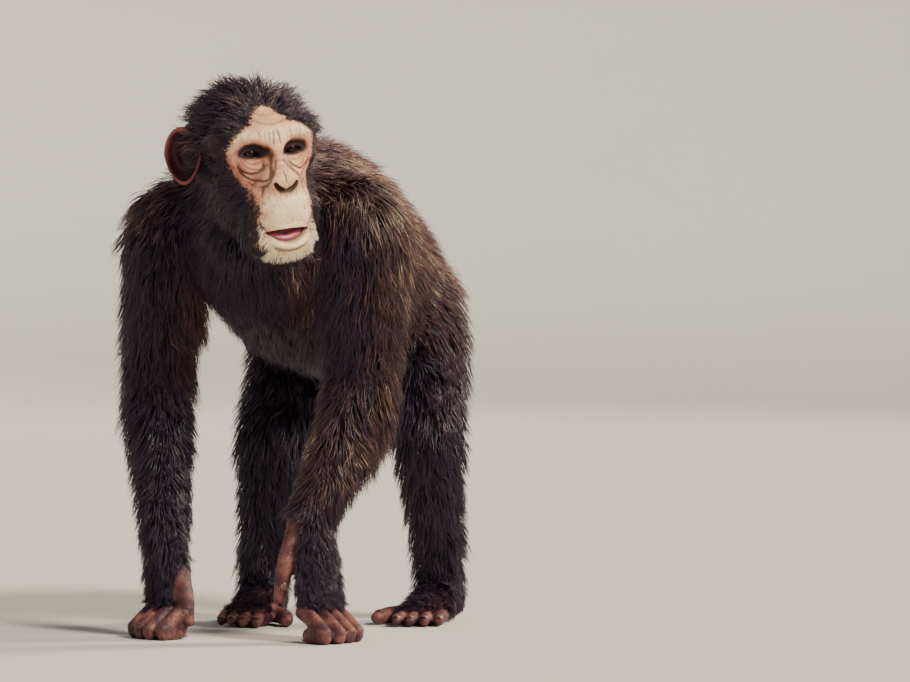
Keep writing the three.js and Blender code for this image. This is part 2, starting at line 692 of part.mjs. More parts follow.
const HEAD_ROWS = [
  { tilt: 76, locks: 7, from: -62, to: 242, length: 52 },
  { tilt: 110, locks: 4, from: -30, to: 210, length: 62 },
]; // degrees from straight ahead, and round that line from the head's left over the crown to its right

const HEAD_RADIUS = 85; // mean, for the size of its locks

/** The head's locks, swept back from the face. */
function headLocks() {
  const centre = point(HEAD_CENTRE);
  const made = [];
  for (const { tilt, locks, from, to, length } of HEAD_ROWS) {
    for (let i = 0; i < locks; i++) {
      const angle = radians(THREE.MathUtils.lerp(from, to, (i + 0.5 + random(-0.15, 0.15)) / locks));
      const lean = radians(tilt + random(-5, 5));
      const reach = (length * random(0.85, 1.2)) / HEAD_RADIUS;
      const spot = (share, aside) => {
        const tipped = lean + reach * share;
        const round = Math.sin(tipped);
        const turned = angle + aside / (HEAD_RADIUS * round);
        const [side, up] = [Math.cos(turned) * round, Math.sin(turned) * round];
        const out = new THREE.Vector3(side, -Math.cos(tipped), up);
        const at = skinPoint(centre, out);
        const coat = headCoat(at);
        return { at: at.addScaledVector(out, coat * CORE_SHARE), out, coat };
      };
      const round = radians(to - from) * HEAD_RADIUS * Math.sin(lean);
      const width = (round / locks) * random(0.74, 0.88);
      made.push((grow) => lock(spot, { width, grow }));
    }
  }
  return made;
}

const ON_CHEST = { length: 128, lie: trunkLie };
const ON_ABDOMEN = { length: 120, lie: trunkLie };
const ON_NAPE = { length: 75, lie: napeLie };
const ON_UPPER_ARM = { rows: 2, around: 4, length: 130, lie: downLie };
const ON_THIGH = { rows: 2, around: 4, length: 130, lie: downLie };
const ON_SHANK = { rows: 2, around: 4, length: 105, lie: downLie };
const LOCKS = {
  chest: rowsOn(TRUNK, { from: 0.03, to: TRUNK_WAIST, rows: 3, around: 6, ...ON_CHEST }),
  abdomen: rowsOn(TRUNK, { from: TRUNK_WAIST, to: 0.94, rows: 3, around: 6, ...ON_ABDOMEN }),
  neck: rowsOn(NECK, { from: NECK_ROOT, to: NECK_TOP, rows: 1, around: 4, ...ON_NAPE }),
  head: headLocks(),
};
for (const s of SIDES) {
  const [arm, leg, side] = [ARM[s], LEG[s], SIDE_NAME[s]];
  const onForearm = { rows: 2, around: 4, length: 100, lie: forearmLie(s) };
  LOCKS[`upper_arm_${side}`] = rowsOn(arm, { from: 0.1, to: ELBOW_SHARE, ...ON_UPPER_ARM });
  LOCKS[`forearm_${side}`] = rowsOn(arm, { from: ELBOW_SHARE, to: 0.74, ...onForearm });
  LOCKS[`thigh_${side}`] = rowsOn(leg, { from: 0.16, to: KNEE_SHARE, ...ON_THIGH });
  LOCKS[`shank_${side}`] = rowsOn(leg, { from: KNEE_SHARE, to: 0.83, ...ON_SHANK });
}
const LOWEST_LOCK = 4; // over the floor

// Putting the pieces together

const FINISHES = {
  fur: { color: 0x2b2228, roughness: 0.75, metalness: 0 },
  face: { color: 0xc79a80, roughness: 0.6, metalness: 0 },
  bareSkin: { color: 0x5d3a35, roughness: 0.65, metalness: 0 },
  eye: { color: 0x2a1710, roughness: 0.12, metalness: 0 },
  tongue: { color: 0xa85a62, roughness: 0.4, metalness: 0 },
};

const model = new THREE.Group();
const headGroup = new THREE.Group();
headGroup.position.set(...HEAD_AT);
headGroup.rotation.set(radians(HEAD_PITCH), radians(HEAD_ROLL), radians(HEAD_YAW), "ZXY");
headGroup.updateMatrixWorld(true);
model.add(headGroup);

const pieces = [];
const HEAD_FRAME = { group: headGroup, matrix: headGroup.matrixWorld };
const BODY_FRAME = { group: model, matrix: new THREE.Matrix4() };

/** A solid moved from a frame into the animal's own. */
const moved = (made, matrix) => solid(geometryOf(made).applyMatrix4(matrix));

/** Whether two solids' boxes overlap. */
function near(a, b) {
  const [p, q] = [a.boundingBox(), b.boundingBox()];
  return [0, 1, 2].every((k) => p.min[k] < q.max[k] && q.min[k] < p.max[k]);
}

/** Takes a piece into the animal, cut clear of every piece before it. shape(grow) gives its solid. */
function take(name, finish, pivot, frame, shape) {
  const grown = moved(shape(GAP), frame.matrix);
  let made = moved(shape(0), frame.matrix);
  for (const other of pieces) if (near(made, other.grown)) made = made.subtract(other.grown);
  pieces.push({ name, finish, pivot, frame, made: largest(made), grown });
}

/** The head with the end of the neck, which its coat runs into. */
function headOnNeck(grow) {
  const nape = moved(neckBetween(NECK_TOP, 1, grow), HEAD_FRAME.matrix.clone().invert());
  return headSolid(grow).add(nape);
}

const EYEBALL = [EYE_RADIUS, EYE_RADIUS, EYE_RADIUS];
const eyeball = (s) => (grow) => ellipsoid(EYE[s], EYEBALL, { sides: 8, rings: 6, grow });
const neckLow = (grow) => neckBetween(NECK_ROOT, NECK_TOP, grow);

take("chest", "fur", [0, -110, 560], BODY_FRAME, chestSolid);
take("abdomen", "fur", [0, 150, 480], BODY_FRAME, abdomenSolid);
take("neck", "fur", NECK.frame(NECK_ROOT).at.toArray(), BODY_FRAME, neckLow);
for (const s of SIDES) take(`eye_${SIDE_NAME[s]}`, "eye", EYE[s], HEAD_FRAME, eyeball(s));
take("tongue", "tongue", [0, -90, MOUTH_HEIGHT], HEAD_FRAME, tongueSolid);
take("head", "face", [0, 0, 0], HEAD_FRAME, headOnNeck);
for (const s of SIDES) {
  const side = SIDE_NAME[s];
  const earRoot = [s * EAR_AT[0], EAR_AT[1], EAR_AT[2]];
  take(`ear_${side}`, "bareSkin", earRoot, HEAD_FRAME, (grow) => earSolid(s, grow));
  const armPart = (from, to) => (grow) => armBetween(s, from, to, grow);
  const legPart = (from, to) => (grow) => legBetween(s, from, to, grow);
  take(`upper_arm_${side}`, "fur", SHOULDER[s], BODY_FRAME, armPart(0, ELBOW_SHARE));
  take(`forearm_${side}`, "fur", ELBOW[s], BODY_FRAME, armPart(ELBOW_SHARE, WRIST_SHARE));
  take(`hand_${side}`, "bareSkin", WRIST[s], BODY_FRAME, armPart(WRIST_SHARE, 1));
  take(`thumb_${side}`, "bareSkin", WRIST[s], BODY_FRAME, (grow) => thumbSolid(s, grow));
  FINGER_NAMES.forEach((name, i) => {
    const finger = (grow) => fingerSolid(s, i, grow);
    take(`finger_${name}_${side}`, "bareSkin", KNUCKLE[s], BODY_FRAME, finger);
  });
  take(`thigh_${side}`, "fur", HIP[s], BODY_FRAME, legPart(0, KNEE_SHARE));
  take(`shank_${side}`, "fur", KNEE[s], BODY_FRAME, legPart(KNEE_SHARE, ANKLE_SHARE));
  take(`foot_${side}`, "bareSkin", ANKLE[s], BODY_FRAME, (grow) => footSolid(s, grow));
  take(`toe_big_${side}`, "bareSkin", ANKLE[s], BODY_FRAME, (grow) => bigToeSolid(s, grow));
  TOE_NAMES.forEach((name, i) => {
    const toe = (grow) => toeSolid(s, i, grow);
    take(`toe_${name}_${side}`, "bareSkin", ANKLE[s], BODY_FRAME, toe);
  });
}

// The locks are fused to their pieces, cut clear of the other pieces and of the locks already there
for (const piece of pieces) {
  const shapes = LOCKS[piece.name] ?? [];
  if (shapes.length === 0) continue;
  const all = (grow) => moved(join(shapes.map((shape) => shape(grow))), piece.frame.matrix);
  let locks = beyond(all(0), new THREE.Vector3(0, 0, LOWEST_LOCK), Z_AXIS);
  for (const other of pieces) {
    if (other !== piece && near(locks, other.grown)) locks = locks.subtract(other.grown);
  }
  piece.made = largest(piece.made.add(locks));
  piece.grown = piece.grown.add(all(GAP));
}

for (const { name, finish, pivot, frame, made } of pieces) {
  const geometry = geometryOf(made).applyMatrix4(frame.matrix.clone().invert());
  geometry.translate(-pivot[0], -pivot[1], -pivot[2]);
  const mesh = new THREE.Mesh(geometry, new THREE.MeshStandardMaterial(FINISHES[finish]));
  mesh.name = name;
  mesh.position.set(...pivot);
  frame.group.add(mesh);
}

const box = new THREE.Box3().setFromObject(model, true);
const middle = box.getCenter(new THREE.Vector3());
model.position.set(-middle.x, -middle.y, 0);

export default model;
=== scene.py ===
"""A life-size museum model of a chimpanzee, standing on its knuckles and soles.

One skin with eyes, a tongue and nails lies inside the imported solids, and a coat of solid tufts grows
on it.
"""

import itertools
import logging
import math
from dataclasses import dataclass, field
from enum import Enum
from typing import Callable, Sequence

import bpy
import numpy as np
from mathutils import Matrix, Vector
from mathutils.kdtree import KDTree


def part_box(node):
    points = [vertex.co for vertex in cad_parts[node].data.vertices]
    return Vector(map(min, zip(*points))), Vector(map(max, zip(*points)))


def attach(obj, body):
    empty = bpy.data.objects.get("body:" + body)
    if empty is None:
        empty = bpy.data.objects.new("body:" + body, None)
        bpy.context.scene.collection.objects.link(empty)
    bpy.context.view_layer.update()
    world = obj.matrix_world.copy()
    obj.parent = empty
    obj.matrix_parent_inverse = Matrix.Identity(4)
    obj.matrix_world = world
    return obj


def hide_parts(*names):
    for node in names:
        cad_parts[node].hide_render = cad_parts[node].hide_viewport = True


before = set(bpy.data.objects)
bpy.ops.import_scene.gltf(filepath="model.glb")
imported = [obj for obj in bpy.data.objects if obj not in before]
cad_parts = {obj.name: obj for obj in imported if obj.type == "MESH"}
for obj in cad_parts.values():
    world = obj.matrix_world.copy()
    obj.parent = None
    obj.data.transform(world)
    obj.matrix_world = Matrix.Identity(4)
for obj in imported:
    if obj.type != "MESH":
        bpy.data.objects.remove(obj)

LOG = logging.getLogger("chimpanzee")
MM = 0.001
BODY = "root"
Array = np.ndarray
Colour = tuple[float, float, float]
Row = Sequence[float]
Rows = Sequence[Row]
Piece = bpy.types.Object
Material = bpy.types.Material
Placing = Callable[[Array, Array], Array]  # places from shares of a path and angles round it
Lie = Callable[[Array, Array], tuple[Array, Array]]  # from the same, how a coat lies along and round

CLOSE = 1e-4  # how near points of a curve count as one
BATCH = 20000  # how many points are compared at once
# What the noise scrambles the corners of its grid with
HASH_AXES = np.array([73856093, 19349663, 83492791])
HASH_SEED = 2654435761
HASH_MIX = 1274126177
HASH_MASK = 0xFFFFFFFF


class Side(Enum):
    """One of the animal's own sides, with the sign of its X."""

    LEFT = 1
    RIGHT = -1

    @property
    def word(self) -> str:
        """The side's word in the names of nodes."""
        return self.name.lower()


class Region(Enum):
    """A stretch of the coat that is one piece of the model."""

    HEAD_FRONT = "head_front"
    HEAD_BACK = "head_back"
    SHOULDERS = "shoulders"
    BACK = "back"
    RUMP = "rump"
    UPPER_ARM_LEFT = "upper_arm_left"
    UPPER_ARM_RIGHT = "upper_arm_right"
    FOREARM_LEFT = "forearm_left"
    FOREARM_RIGHT = "forearm_right"
    LEG_LEFT = "leg_left"
    LEG_RIGHT = "leg_right"


# Numbers and curves, in millimetres of the animal's own frame


def tone(red: float, green: float, blue: float) -> Colour:
    """A screen colour of 0 to 255 as the linear colour that shaders take."""
    return tuple((c / 255) ** 2.2 for c in (red, green, blue))


def unit(vectors: Array) -> Array:
    """Vectors at length one."""
    return vectors / np.maximum(np.linalg.norm(vectors, axis=-1, keepdims=True), 1e-9)


def dot(a: Array, b: Array) -> Array:
    """Row by row, how far one set of vectors goes along another."""
    return np.sum(a * b, axis=-1)


def ease(value: Array, start: float, stop: float) -> Array:
    """A smooth step from 0 at start to 1 at stop."""
    share = np.clip((np.asarray(value, float) - start) / (stop - start), 0, 1)
    return share * share * (3 - 2 * share)


def bell(value: Array) -> Array:
    """A bell curve: 1 at 0, and falling away on both sides."""
    return np.exp(-(value**2))


def blend(a: Array, b: Array, width: float) -> Array:
    """The smaller of two distances, rounded where they are close."""
    near = np.maximum(width - np.abs(a - b), 0) / width
    return np.minimum(a, b) - near * near * width / 4


def turn(axis: int, degrees: float) -> Array:
    """A rotation about one of the axes."""
    return np.array(Matrix.Rotation(math.radians(degrees), 3, "XYZ"[axis]))


def smooth_curve(points: Array, shares: Array) -> Array:
    """A centripetal Catmull-Rom curve.

    Args:
        points: the rows that it goes through, evenly spaced over its course.
        shares: where it is read, from 0 to 1.

    Returns:
        One row for each share.
    """
    points = np.asarray(points, float)
    rows = np.vstack([2 * points[0] - points[1], points, 2 * points[-1] - points[-2]])
    place = np.clip(shares, 0, 1) * (len(points) - 1)
    index = np.minimum(place.astype(int), len(points) - 2)
    w = (place - index)[:, None]
    p0, p1, p2, p3 = (rows[index + k] for k in range(4))
    gaps = [np.sqrt(np.linalg.norm(b - a, axis=1))[:, None] for a, b in ((p0, p1), (p1, p2), (p2, p3))]
    d1 = np.where(gaps[1] < CLOSE, 1.0, gaps[1])
    d0, d2 = (np.where(gap < CLOSE, d1, gap) for gap in gaps[::2])
    m1 = ((p1 - p0) / d0 - (p2 - p0) / (d0 + d1) + (p2 - p1) / d1) * d1
    m2 = ((p2 - p1) / d1 - (p3 - p1) / (d1 + d2) + (p3 - p2) / d2) * d1
    return p1 + m1 * w + (3 * (p2 - p1) - 2 * m1 - m2) * w**2 + (2 * (p1 - p2) + m1 + m2) * w**3


def soft_noise(points: Array, cell: float, seed: int = 0) -> Array:
    """Smooth noise.

    Args:
        points: where it is read.
        cell: about how large its bumps are.
        seed: which noise it is.

    Returns:
        One number for each point, from -1 to 1.
    """
    place = np.asarray(points, float) / cell
    corner = np.floor(place).astype(np.int64)
    part = place - corner
    part = part * part * (3 - 2 * part)
    total = np.zeros(len(place))
    for step in itertools.product((0, 1), repeat=3):
        mixed = np.bitwise_xor.reduce((corner + step) * HASH_AXES, axis=1) ^ (seed + 1) * HASH_SEED
        mixed &= HASH_MASK
        mixed = (mixed ^ (mixed >> 13)) * HASH_MIX & HASH_MASK
        value = (mixed ^ (mixed >> 16)) / 2**31 - 1
        total += value * np.prod(np.where(step, part, 1 - part), axis=1)
    return total


def spread_along(joints: Rows, rows: Rows) -> Array:
    """Stations along a chain of joints.

    Args:
        joints: the joints' places.
        rows: bone, share of the bone, half-width, half-depth, coat and turn in degrees.

    Returns:
        Rows of x, y, z and the rest as it was given.
    """
    made = []
    for bone, share, *rest in rows:
        start, end = np.array(joints[int(bone)], float), np.array(joints[int(bone) + 1], float)
        made.append([*(start + (end - start) * share), *rest])
    return np.array(made, float)


# Meshes


def frame_shift() -> Array:
    """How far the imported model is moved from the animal's own frame, read off its left eye."""
    low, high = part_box("eye_left")
    return np.array((low + high) / 2) / MM - HEAD.to_body(HEAD.eye_at(Side.LEFT)[None])[0]


def to_scene(points: Array) -> Array:
    """Places of the animal's frame as places of the scene."""
    return (points + SHIFT) * MM


def from_scene(points: Array) -> Array:
    """Places of the scene as places of the animal's frame."""
    return points / MM - SHIFT


def only(*objects: Piece) -> None:
    """Selects these objects and nothing else, the first of them active.

    Args:
        objects: what is selected.
    """
    bpy.ops.object.select_all(action="DESELECT")
    for one in objects:
        one.select_set(True)
    bpy.context.view_layer.objects.active = objects[0]


def read_rows(of: object, name: str, kind: type) -> Array:
    """Three numbers of everything in a collection.

    Args:
        of: the collection.
        name: what the numbers are called there.
        kind: their type.

    Returns:
        One row of three for each.
    """
    flat = np.empty(len(of) * 3, kind)
    of.foreach_get(name, flat)
    return flat.reshape(-1, 3)


def read_points(mesh: bpy.types.Mesh) -> Array:
    """A mesh's vertices, one row of x, y and z for each."""
    return read_rows(mesh.vertices, "co", float)


def write_points(mesh: bpy.types.Mesh, points: Array) -> None:
    """Moves a mesh's vertices."""
    mesh.vertices.foreach_set("co", np.ascontiguousarray(points, dtype=np.float32).ravel())
    mesh.update()


def read_normals(mesh: bpy.types.Mesh) -> Array:
    """A mesh's vertex normals, one row of x, y and z for each."""
    return read_rows(mesh.vertex_normals, "vector", np.float32).astype(float)


def write_colour(mesh: bpy.types.Mesh, name: str, *parts: Array) -> None:
    """Keeps up to four numbers for each vertex, which the materials read by name.

    Args:
        mesh: the mesh that keeps them.
        name: what the materials call them.
        parts: one number for all vertices or one for each, up to four times.
    """
    columns = [np.broadcast_to(p, len(mesh.vertices)) for p in parts]
    columns += [np.ones(len(mesh.vertices))] * (4 - len(columns))
    layer = mesh.attributes.new(name, "FLOAT_COLOR", "POINT")
    layer.data.foreach_set("color", np.stack(columns, -1).astype(np.float32).ravel())


def shaped_ball(name: str, segments: int, rings: int, place: Placing) -> Piece:
    """A ball with every vertex moved to where it belongs, its faces pointing out.

    Args:
        name: the object's name.
        segments: faces round the ball.
        rings: faces from pole to pole.
        place: gives places from the share of the way between the poles and the angle round them.

    Returns:
        The new object.
    """
    bpy.ops.mesh.primitive_uv_sphere_add(segments=segments, ring_count=rings, radius=1)
    ball = bpy.context.active_object
    ball.name = name
    unit_points = read_points(ball.data)
    share = np.arccos(np.clip(unit_points[:, 2], -1, 1)) / math.pi
    angle = np.arctan2(unit_points[:, 1], unit_points[:, 0])
    write_points(ball.data, to_scene(place(share, angle)))
    face_out(ball)
    return ball


def face_out(piece: Piece) -> None:
    """Turns all faces of a closed piece outwards.

    Args:
        piece: the closed piece.
    """
    only(piece)
    bpy.ops.object.mode_set(mode="EDIT")
    bpy.ops.mesh.select_all(action="SELECT")
    bpy.ops.mesh.normals_make_consistent(inside=False)
    bpy.ops.object.mode_set(mode="OBJECT")


def apply_modifier(piece: Piece, kind: str, **settings: object) -> None:
    """Adds a modifier to a piece and applies it.

    Args:
        piece: what is changed.
        kind: the modifier's type.
        settings: its numbers and choices by name.
    """
    only(piece)
    added = piece.modifiers.new(kind.lower(), kind)
    for key, value in settings.items():
        setattr(added, key, value)
    bpy.ops.object.modifier_apply(modifier=added.name)


def melt(name: str, pieces: Sequence[Piece], voxel: float, rounds: int) -> Piece:
    """Joins pieces and melts them into one closed surface.

    Args:
        name: the new object's name.
        pieces: closed pieces that overlap.
        voxel: the size of the new faces, in millimetres.
        rounds: how often the surface is smoothed.

    Returns:
        The joined piece.
    """
    only(*pieces)
    bpy.ops.object.join()
    melted = bpy.context.active_object
    melted.name = name
    apply_modifier(melted, "REMESH", mode="VOXEL", voxel_size=voxel * MM)
    apply_modifier(melted, "SMOOTH", factor=0.5, iterations=rounds)
    return melted


def finish_piece(piece: Piece, material: Material) -> None:
    """Dresses a finished piece, shades it smooth and lets it ride with the body.

    Args:
        piece: the finished piece.
        material: its finish.
    """
    only(piece)
    bpy.ops.object.shade_smooth()
    piece.data.materials.clear()
    piece.data.materials.append(material)
    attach(piece, BODY)
    piece.data.calc_loop_triangles()
    LOG.info("%s: %d triangles", piece.name, len(piece.data.loop_triangles))


# The forms of the trunk, neck and limbs


@dataclass
class Form:
    """A smooth closed form through stations of x, y, z, half-width, half-depth, coat and turn in degrees."""

    stations: Array
    side: Row = (1, 0, 0)
    cap: float = 0.5  # how far its rounded ends reach, as a share of its size there
    cap_share: float = 0.12  # how much of its mesh is in each of them
    least_span: float = 40.0  # the shortest that it counts as when points are looked up

    def path(self, t: Array) -> Array:
        """The centre line at shares of its length."""
        return smooth_curve(self.stations[:, :3], t)

    def sizes(self, t: Array) -> Array:
        """The half-width, half-depth and coat."""
        return smooth_curve(self.stations[:, 3:6], t)

    def axes(self, t: Array) -> tuple[Array, Array, Array]:
        """The directions along the form, to its side and into its depth.

        Args:
            t: shares of its length.

        Returns:
            Three sets of unit vectors, one of each for every share.
        """
        step = 1e-3
        along = unit(self.path(np.minimum(t + step, 1)) - self.path(np.maximum(t - step, 0)))
        numbered = np.column_stack([self.stations[:, 6], np.arange(len(self.stations))])
        angle = np.radians(smooth_curve(numbered, t)[:, 0])
        x, y, z = self.side
        cos, sin = np.cos(angle), np.sin(angle)
        side = np.column_stack([x * cos - y * sin, x * sin + y * cos, np.full(len(t), z)])
        side = unit(side - along * dot(along, side)[:, None])
        return along, side, np.cross(along, side)

    def surface(self, t: Array, angle: Array, scale: Array | float = 1.0, proud: float = 0.0) -> Array:
        """Places on the skin at shares of the path and angles round it.

        Args:
            t: shares of the path.
            angle: the angle round it at each.
            scale: how much of the full size it has there.
            proud: how far over the skin, in millimetres.

        Returns:
            One place for each share.
        """
        _, side, deep = self.axes(t)
        size = self.sizes(t)
        wide = ((size[:, 0] + proud) * scale * np.cos(angle))[:, None]
        return self.path(t) + side * wide + deep * ((size[:, 1] + proud) * scale * np.sin(angle))[:, None]

    def ball(
        self, name: str, segments: int, rings: int, start: float = 0, stop: float = 1, proud: float = 0
    ) -> Piece:
        """The form between two shares of its path, as a closed mesh with rounded ends.

        Args:
            name: the object's name.
            segments: faces round the form.
            rings: faces from end to end.
            start: the share of the path where it begins.
            stop: the share where it ends.
            proud: how far over the skin it lies, in millimetres.

        Returns:
            The new object.
        """

        def place(share: Array, angle: Array) -> Array:
            """Places of the ball's vertices, the first and last shares being the rounded ends."""
            before = np.clip((self.cap_share - share) / self.cap_share, 0, 1)
            after = np.clip((share - 1 + self.cap_share) / self.cap_share, 0, 1)
            inner = np.clip((share - self.cap_share) / (1 - 2 * self.cap_share), 0, 1)
            t = start + (stop - start) * inner
            past = after - before
            made = self.surface(t, angle, np.sqrt(1 - past**2), proud)
            reach = self.cap * self.sizes(t)[:, :2].min(1) * past
            return made + self.axes(t)[0] * reach[:, None]

        return shaped_ball(name, segments, rings, place)

    def nearest(self, points: Array, samples: int = 56) -> tuple[Array, Array, Array]:
        """Where points near the form lie on it.

        Args:
            points: the places that are looked up.
            samples: how many places of the path they are compared with.

        Returns:
            Their shares, angles and heights.
        """
        shares = np.linspace(0, 1, samples)
        centres = self.path(shares)
        best = np.empty(len(points), int)
        for start in range(0, len(points), BATCH):
            part = points[start : start + BATCH]
            apart = (part**2).sum(1)[:, None] - 2 * part @ centres.T + (centres**2).sum(1)[None]
            best[start : start + BATCH] = np.argmin(apart, axis=1)
        t = shares[best]
        along, side, deep = self.axes(t)
        away = points - centres[best]
        span = np.linalg.norm(centres[-1] - centres[0]) + 1e-6
        t = np.clip(t + dot(away, along) / max(span, self.least_span) * 0.5, 0, 1)
        size = self.sizes(t)
        across, down = dot(away, side), dot(away, deep)
        radius = np.hypot(across / size[:, 0], down / size[:, 1])
        past = np.maximum(np.abs(dot(away, along)) - np.linalg.norm(centres[1] - centres[0]), 0)
        height = (radius - 1) * size[:, :2].min(1) + past
        return t, np.arctan2(down / size[:, 1], across / size[:, 0]), height


def limb(joints: Rows, rows: Rows) -> Form:
    """A limb's form along its joints."""
    return Form(spread_along(joints, [[*row, *([0] * (6 - len(row)))] for row in rows]))


def digit(
    joints: Rows, radii: Row, depth: float = 1, side: Row = (1, 0, 0), cap_share: float = 0.2
) -> Form:
    """A digit's form through its joints, with its half-width at each and how many times as deep it is."""
    rows = [[*at, r, r * depth, 0, 0] for at, r in zip(joints, radii)]
    return Form(np.array(rows, float), side=tuple(side), cap=0.75, cap_share=cap_share)


def floor_way(side: Side, degrees: float) -> tuple[Array, Array]:
    """A hand's or foot's directions on the floor: ahead along its digits, and away from its first digit."""
    spin = turn(2, degrees)
    return spin @ np.array([0.0, -1, 0]), spin @ np.array([side.value, 0.0, 0])


@dataclass
class Arm:
    """One arm from its shoulder to the row of its knuckles, with its fingers and thumb."""

    side: Side
    shoulder: Row
    elbow: Row
    wrist: Row
    knuckle: Row
    points: float  # degrees from straight ahead to the animal's left
    thumb: Rows = ()
    thumb_radii: Row = (14, 12, 12.5, 8.5)
    pitch: float = 21.5
    reach: Row = (44, 49, 46, 39)
    finger_radii: Row = (10.8, 9.9, 10.9, 10.0, 7.8)
    finger_depth: float = 1.18
    highest: float = 1.3  # where in the row the knuckles are highest
    fall: float = 3  # how much lower each knuckle is than its neighbour
    spread: float = 0.002  # how much the fingers part with each millimetre ahead
    names: Sequence[str] = ("index", "middle", "ring", "little")

    @property
    def form(self) -> Form:
        """The arm's long form."""
        rows = [
            [0, -0.2, 22, 26, 26],
            [0, -0.12, 44, 48, 27],
            [0, 0.12, 56, 60, 28],
            [0, 0.5, 45, 50, 28],
            [0, 0.9, 37, 41, 24],
            [1, 0.25, 36, 41, 22],
            [1, 0.6, 31, 34, 18, self.points * 0.4],
            [1, 0.95, 28, 23, 15, self.points],
            [2, 0.45, 35, 20, 12, self.points],
            [2, 1, 40, 17, 7, self.points],
        ]
        return limb([self.shoulder, self.elbow, self.wrist, self.knuckle], rows)

    def finger(self, index: int) -> list[Form]:
        """One finger as the forms of its first bone and of its bent end.

        Args:
            index: which finger, from 0 beside the thumb.

        Returns:
            The two forms.
        """
        ahead, outward = floor_way(self.side, self.points)
        across = (index - 1.5) * self.pitch
        reach = self.reach[index]

        def place(forward: float, height: float) -> list[float]:
            """A place of this finger: ahead of the knuckles, and up from the floor."""
            sideways = outward * across * (1 + forward * self.spread)
            return [*(np.array(self.knuckle[:2]) + (ahead * forward + sideways)[:2]), height]

        top = self.knuckle[2] - abs(index - self.highest) * self.fall
        first = [place(-4, top), place(reach * 0.5, (top + 12) / 2 + 1.5), place(reach, 12.5)]
        rest = [place(reach + 1, 12), place(reach * 0.5 - 10, 11.5), place(reach - 38, 12.5)]
        bones = ((first, self.finger_radii[:3]), (rest, self.finger_radii[2:]))
        return [digit(joints, radii, self.finger_depth, outward) for joints, radii in bones]

    def digits(self) -> list[Form]:
        """The forms of all fingers and of the thumb."""
        made = [form for index in range(4) for form in self.finger(index)]
        a, b, c = (np.array(p, float) for p in self.thumb)
        return [*made, digit([a, (a + b) / 2, b, c], self.thumb_radii, cap_share=0.15)]

    def nodes(self) -> list[str]:
        """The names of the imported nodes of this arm."""
        parts = ["upper_arm", "forearm", "hand", "thumb", *(f"finger_{name}" for name in self.names)]
        return [f"{part}_{self.side.word}" for part in parts]


@dataclass
class Leg:
    """One leg from its hip to its sole, with its toes."""

    side: Side
    hip: Row
    knee: Row
    ankle: Row
    points: float
    ball: float = 104
    pitch: float = 18
    reach: Row = (50, 52, 47, 38)
    toe_radii: Row = (8.8, 8.0, 8.4, 6.6)
    toe_depth: float = 1.12
    spread: float = 0.003  # how much the toes part with each millimetre ahead
    set_back: float = 4  # how far each toe begins behind its neighbour
    # The big toe's joints: ahead of the ankle, outward and up
    big_joints: Rows = ((48, -22, 16), (70, -40, 14.5), (92, -53, 13), (116, -62, 10.5))
    big_radii: Row = (14, 12.5, 12.2, 9.5)
    # The sole's stations: ahead of the ankle, half-width, half-depth, height and coat
    sole_rows: Rows = (
        (-40, 22, 22, 21, 6),
        (-12, 27, 30, 29, 10),
        (30, 30, 27, 26, 9),
        (74, 37, 19, 17.5, 7),
        (108, 38, 15, 13, 3),
    )
    names: Sequence[str] = ("second", "third", "fourth", "fifth")

    @property
    def form(self) -> Form:
        """The leg's long form."""
        rows = [
            [0, -0.22, 30, 34, 24],
            [0, -0.1, 58, 64, 27],
            [0, 0.25, 60, 74, 28],
            [0, 0.65, 48, 58, 26],
            [0, 0.98, 40, 46, 22],
            [1, 0.3, 36, 44, 20],
            [1, 0.65, 32, 35, 20],
            [1, 1, 28, 32, 17],
            [2, 1, 27, 34, 6],
        ]
        return limb([self.hip, self.knee, self.ankle, [*self.ankle[:2], 34]], rows)

    def place(self, forward: float, across: float, height: float) -> list[float]:
        """A place from the ankle: ahead, outward and up from the floor."""
        ahead, outward = floor_way(self.side, self.points)
        return [*(np.array(self.ankle[:2]) + (ahead * forward + outward * across)[:2]), height]

    @property
    def sole(self) -> Form:
        """The foot from its heel to the ball."""
        stations = []
        for ahead, wide, deep, high, coat in self.sole_rows:
            stations.append([*self.place(ahead, 0, high), wide, deep, coat, 0])
        return Form(np.array(stations, float), side=tuple(floor_way(self.side, self.points)[1]), cap=0.7)

    def digits(self) -> list[Form]:
        """The forms of all toes."""
        outward = floor_way(self.side, self.points)[1]
        made = []
        for index, reach in enumerate(self.reach):
            across = (index - 1.1) * self.pitch
            joints = []
            for forward, high in ((-10, 14), (reach * 0.3, 13.5), (reach * 0.62, 12), (reach - 7, 8.5)):
                ahead = forward - index * self.set_back
                joints.append(self.place(self.ball + ahead, across * (1 + ahead * self.spread), high))
            made.append(digit(joints, self.toe_radii, self.toe_depth, outward))
        joints = [self.place(*at) for at in self.big_joints]
        return [*made, digit(joints, self.big_radii, side=outward, cap_share=0.15)]

    def nodes(self) -> list[str]:
        """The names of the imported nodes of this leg."""
        parts = ["thigh", "shank", "foot", "toe_big", *(f"toe_{name}" for name in self.names)]
        return [f"{part}_{self.side.word}" for part in parts]


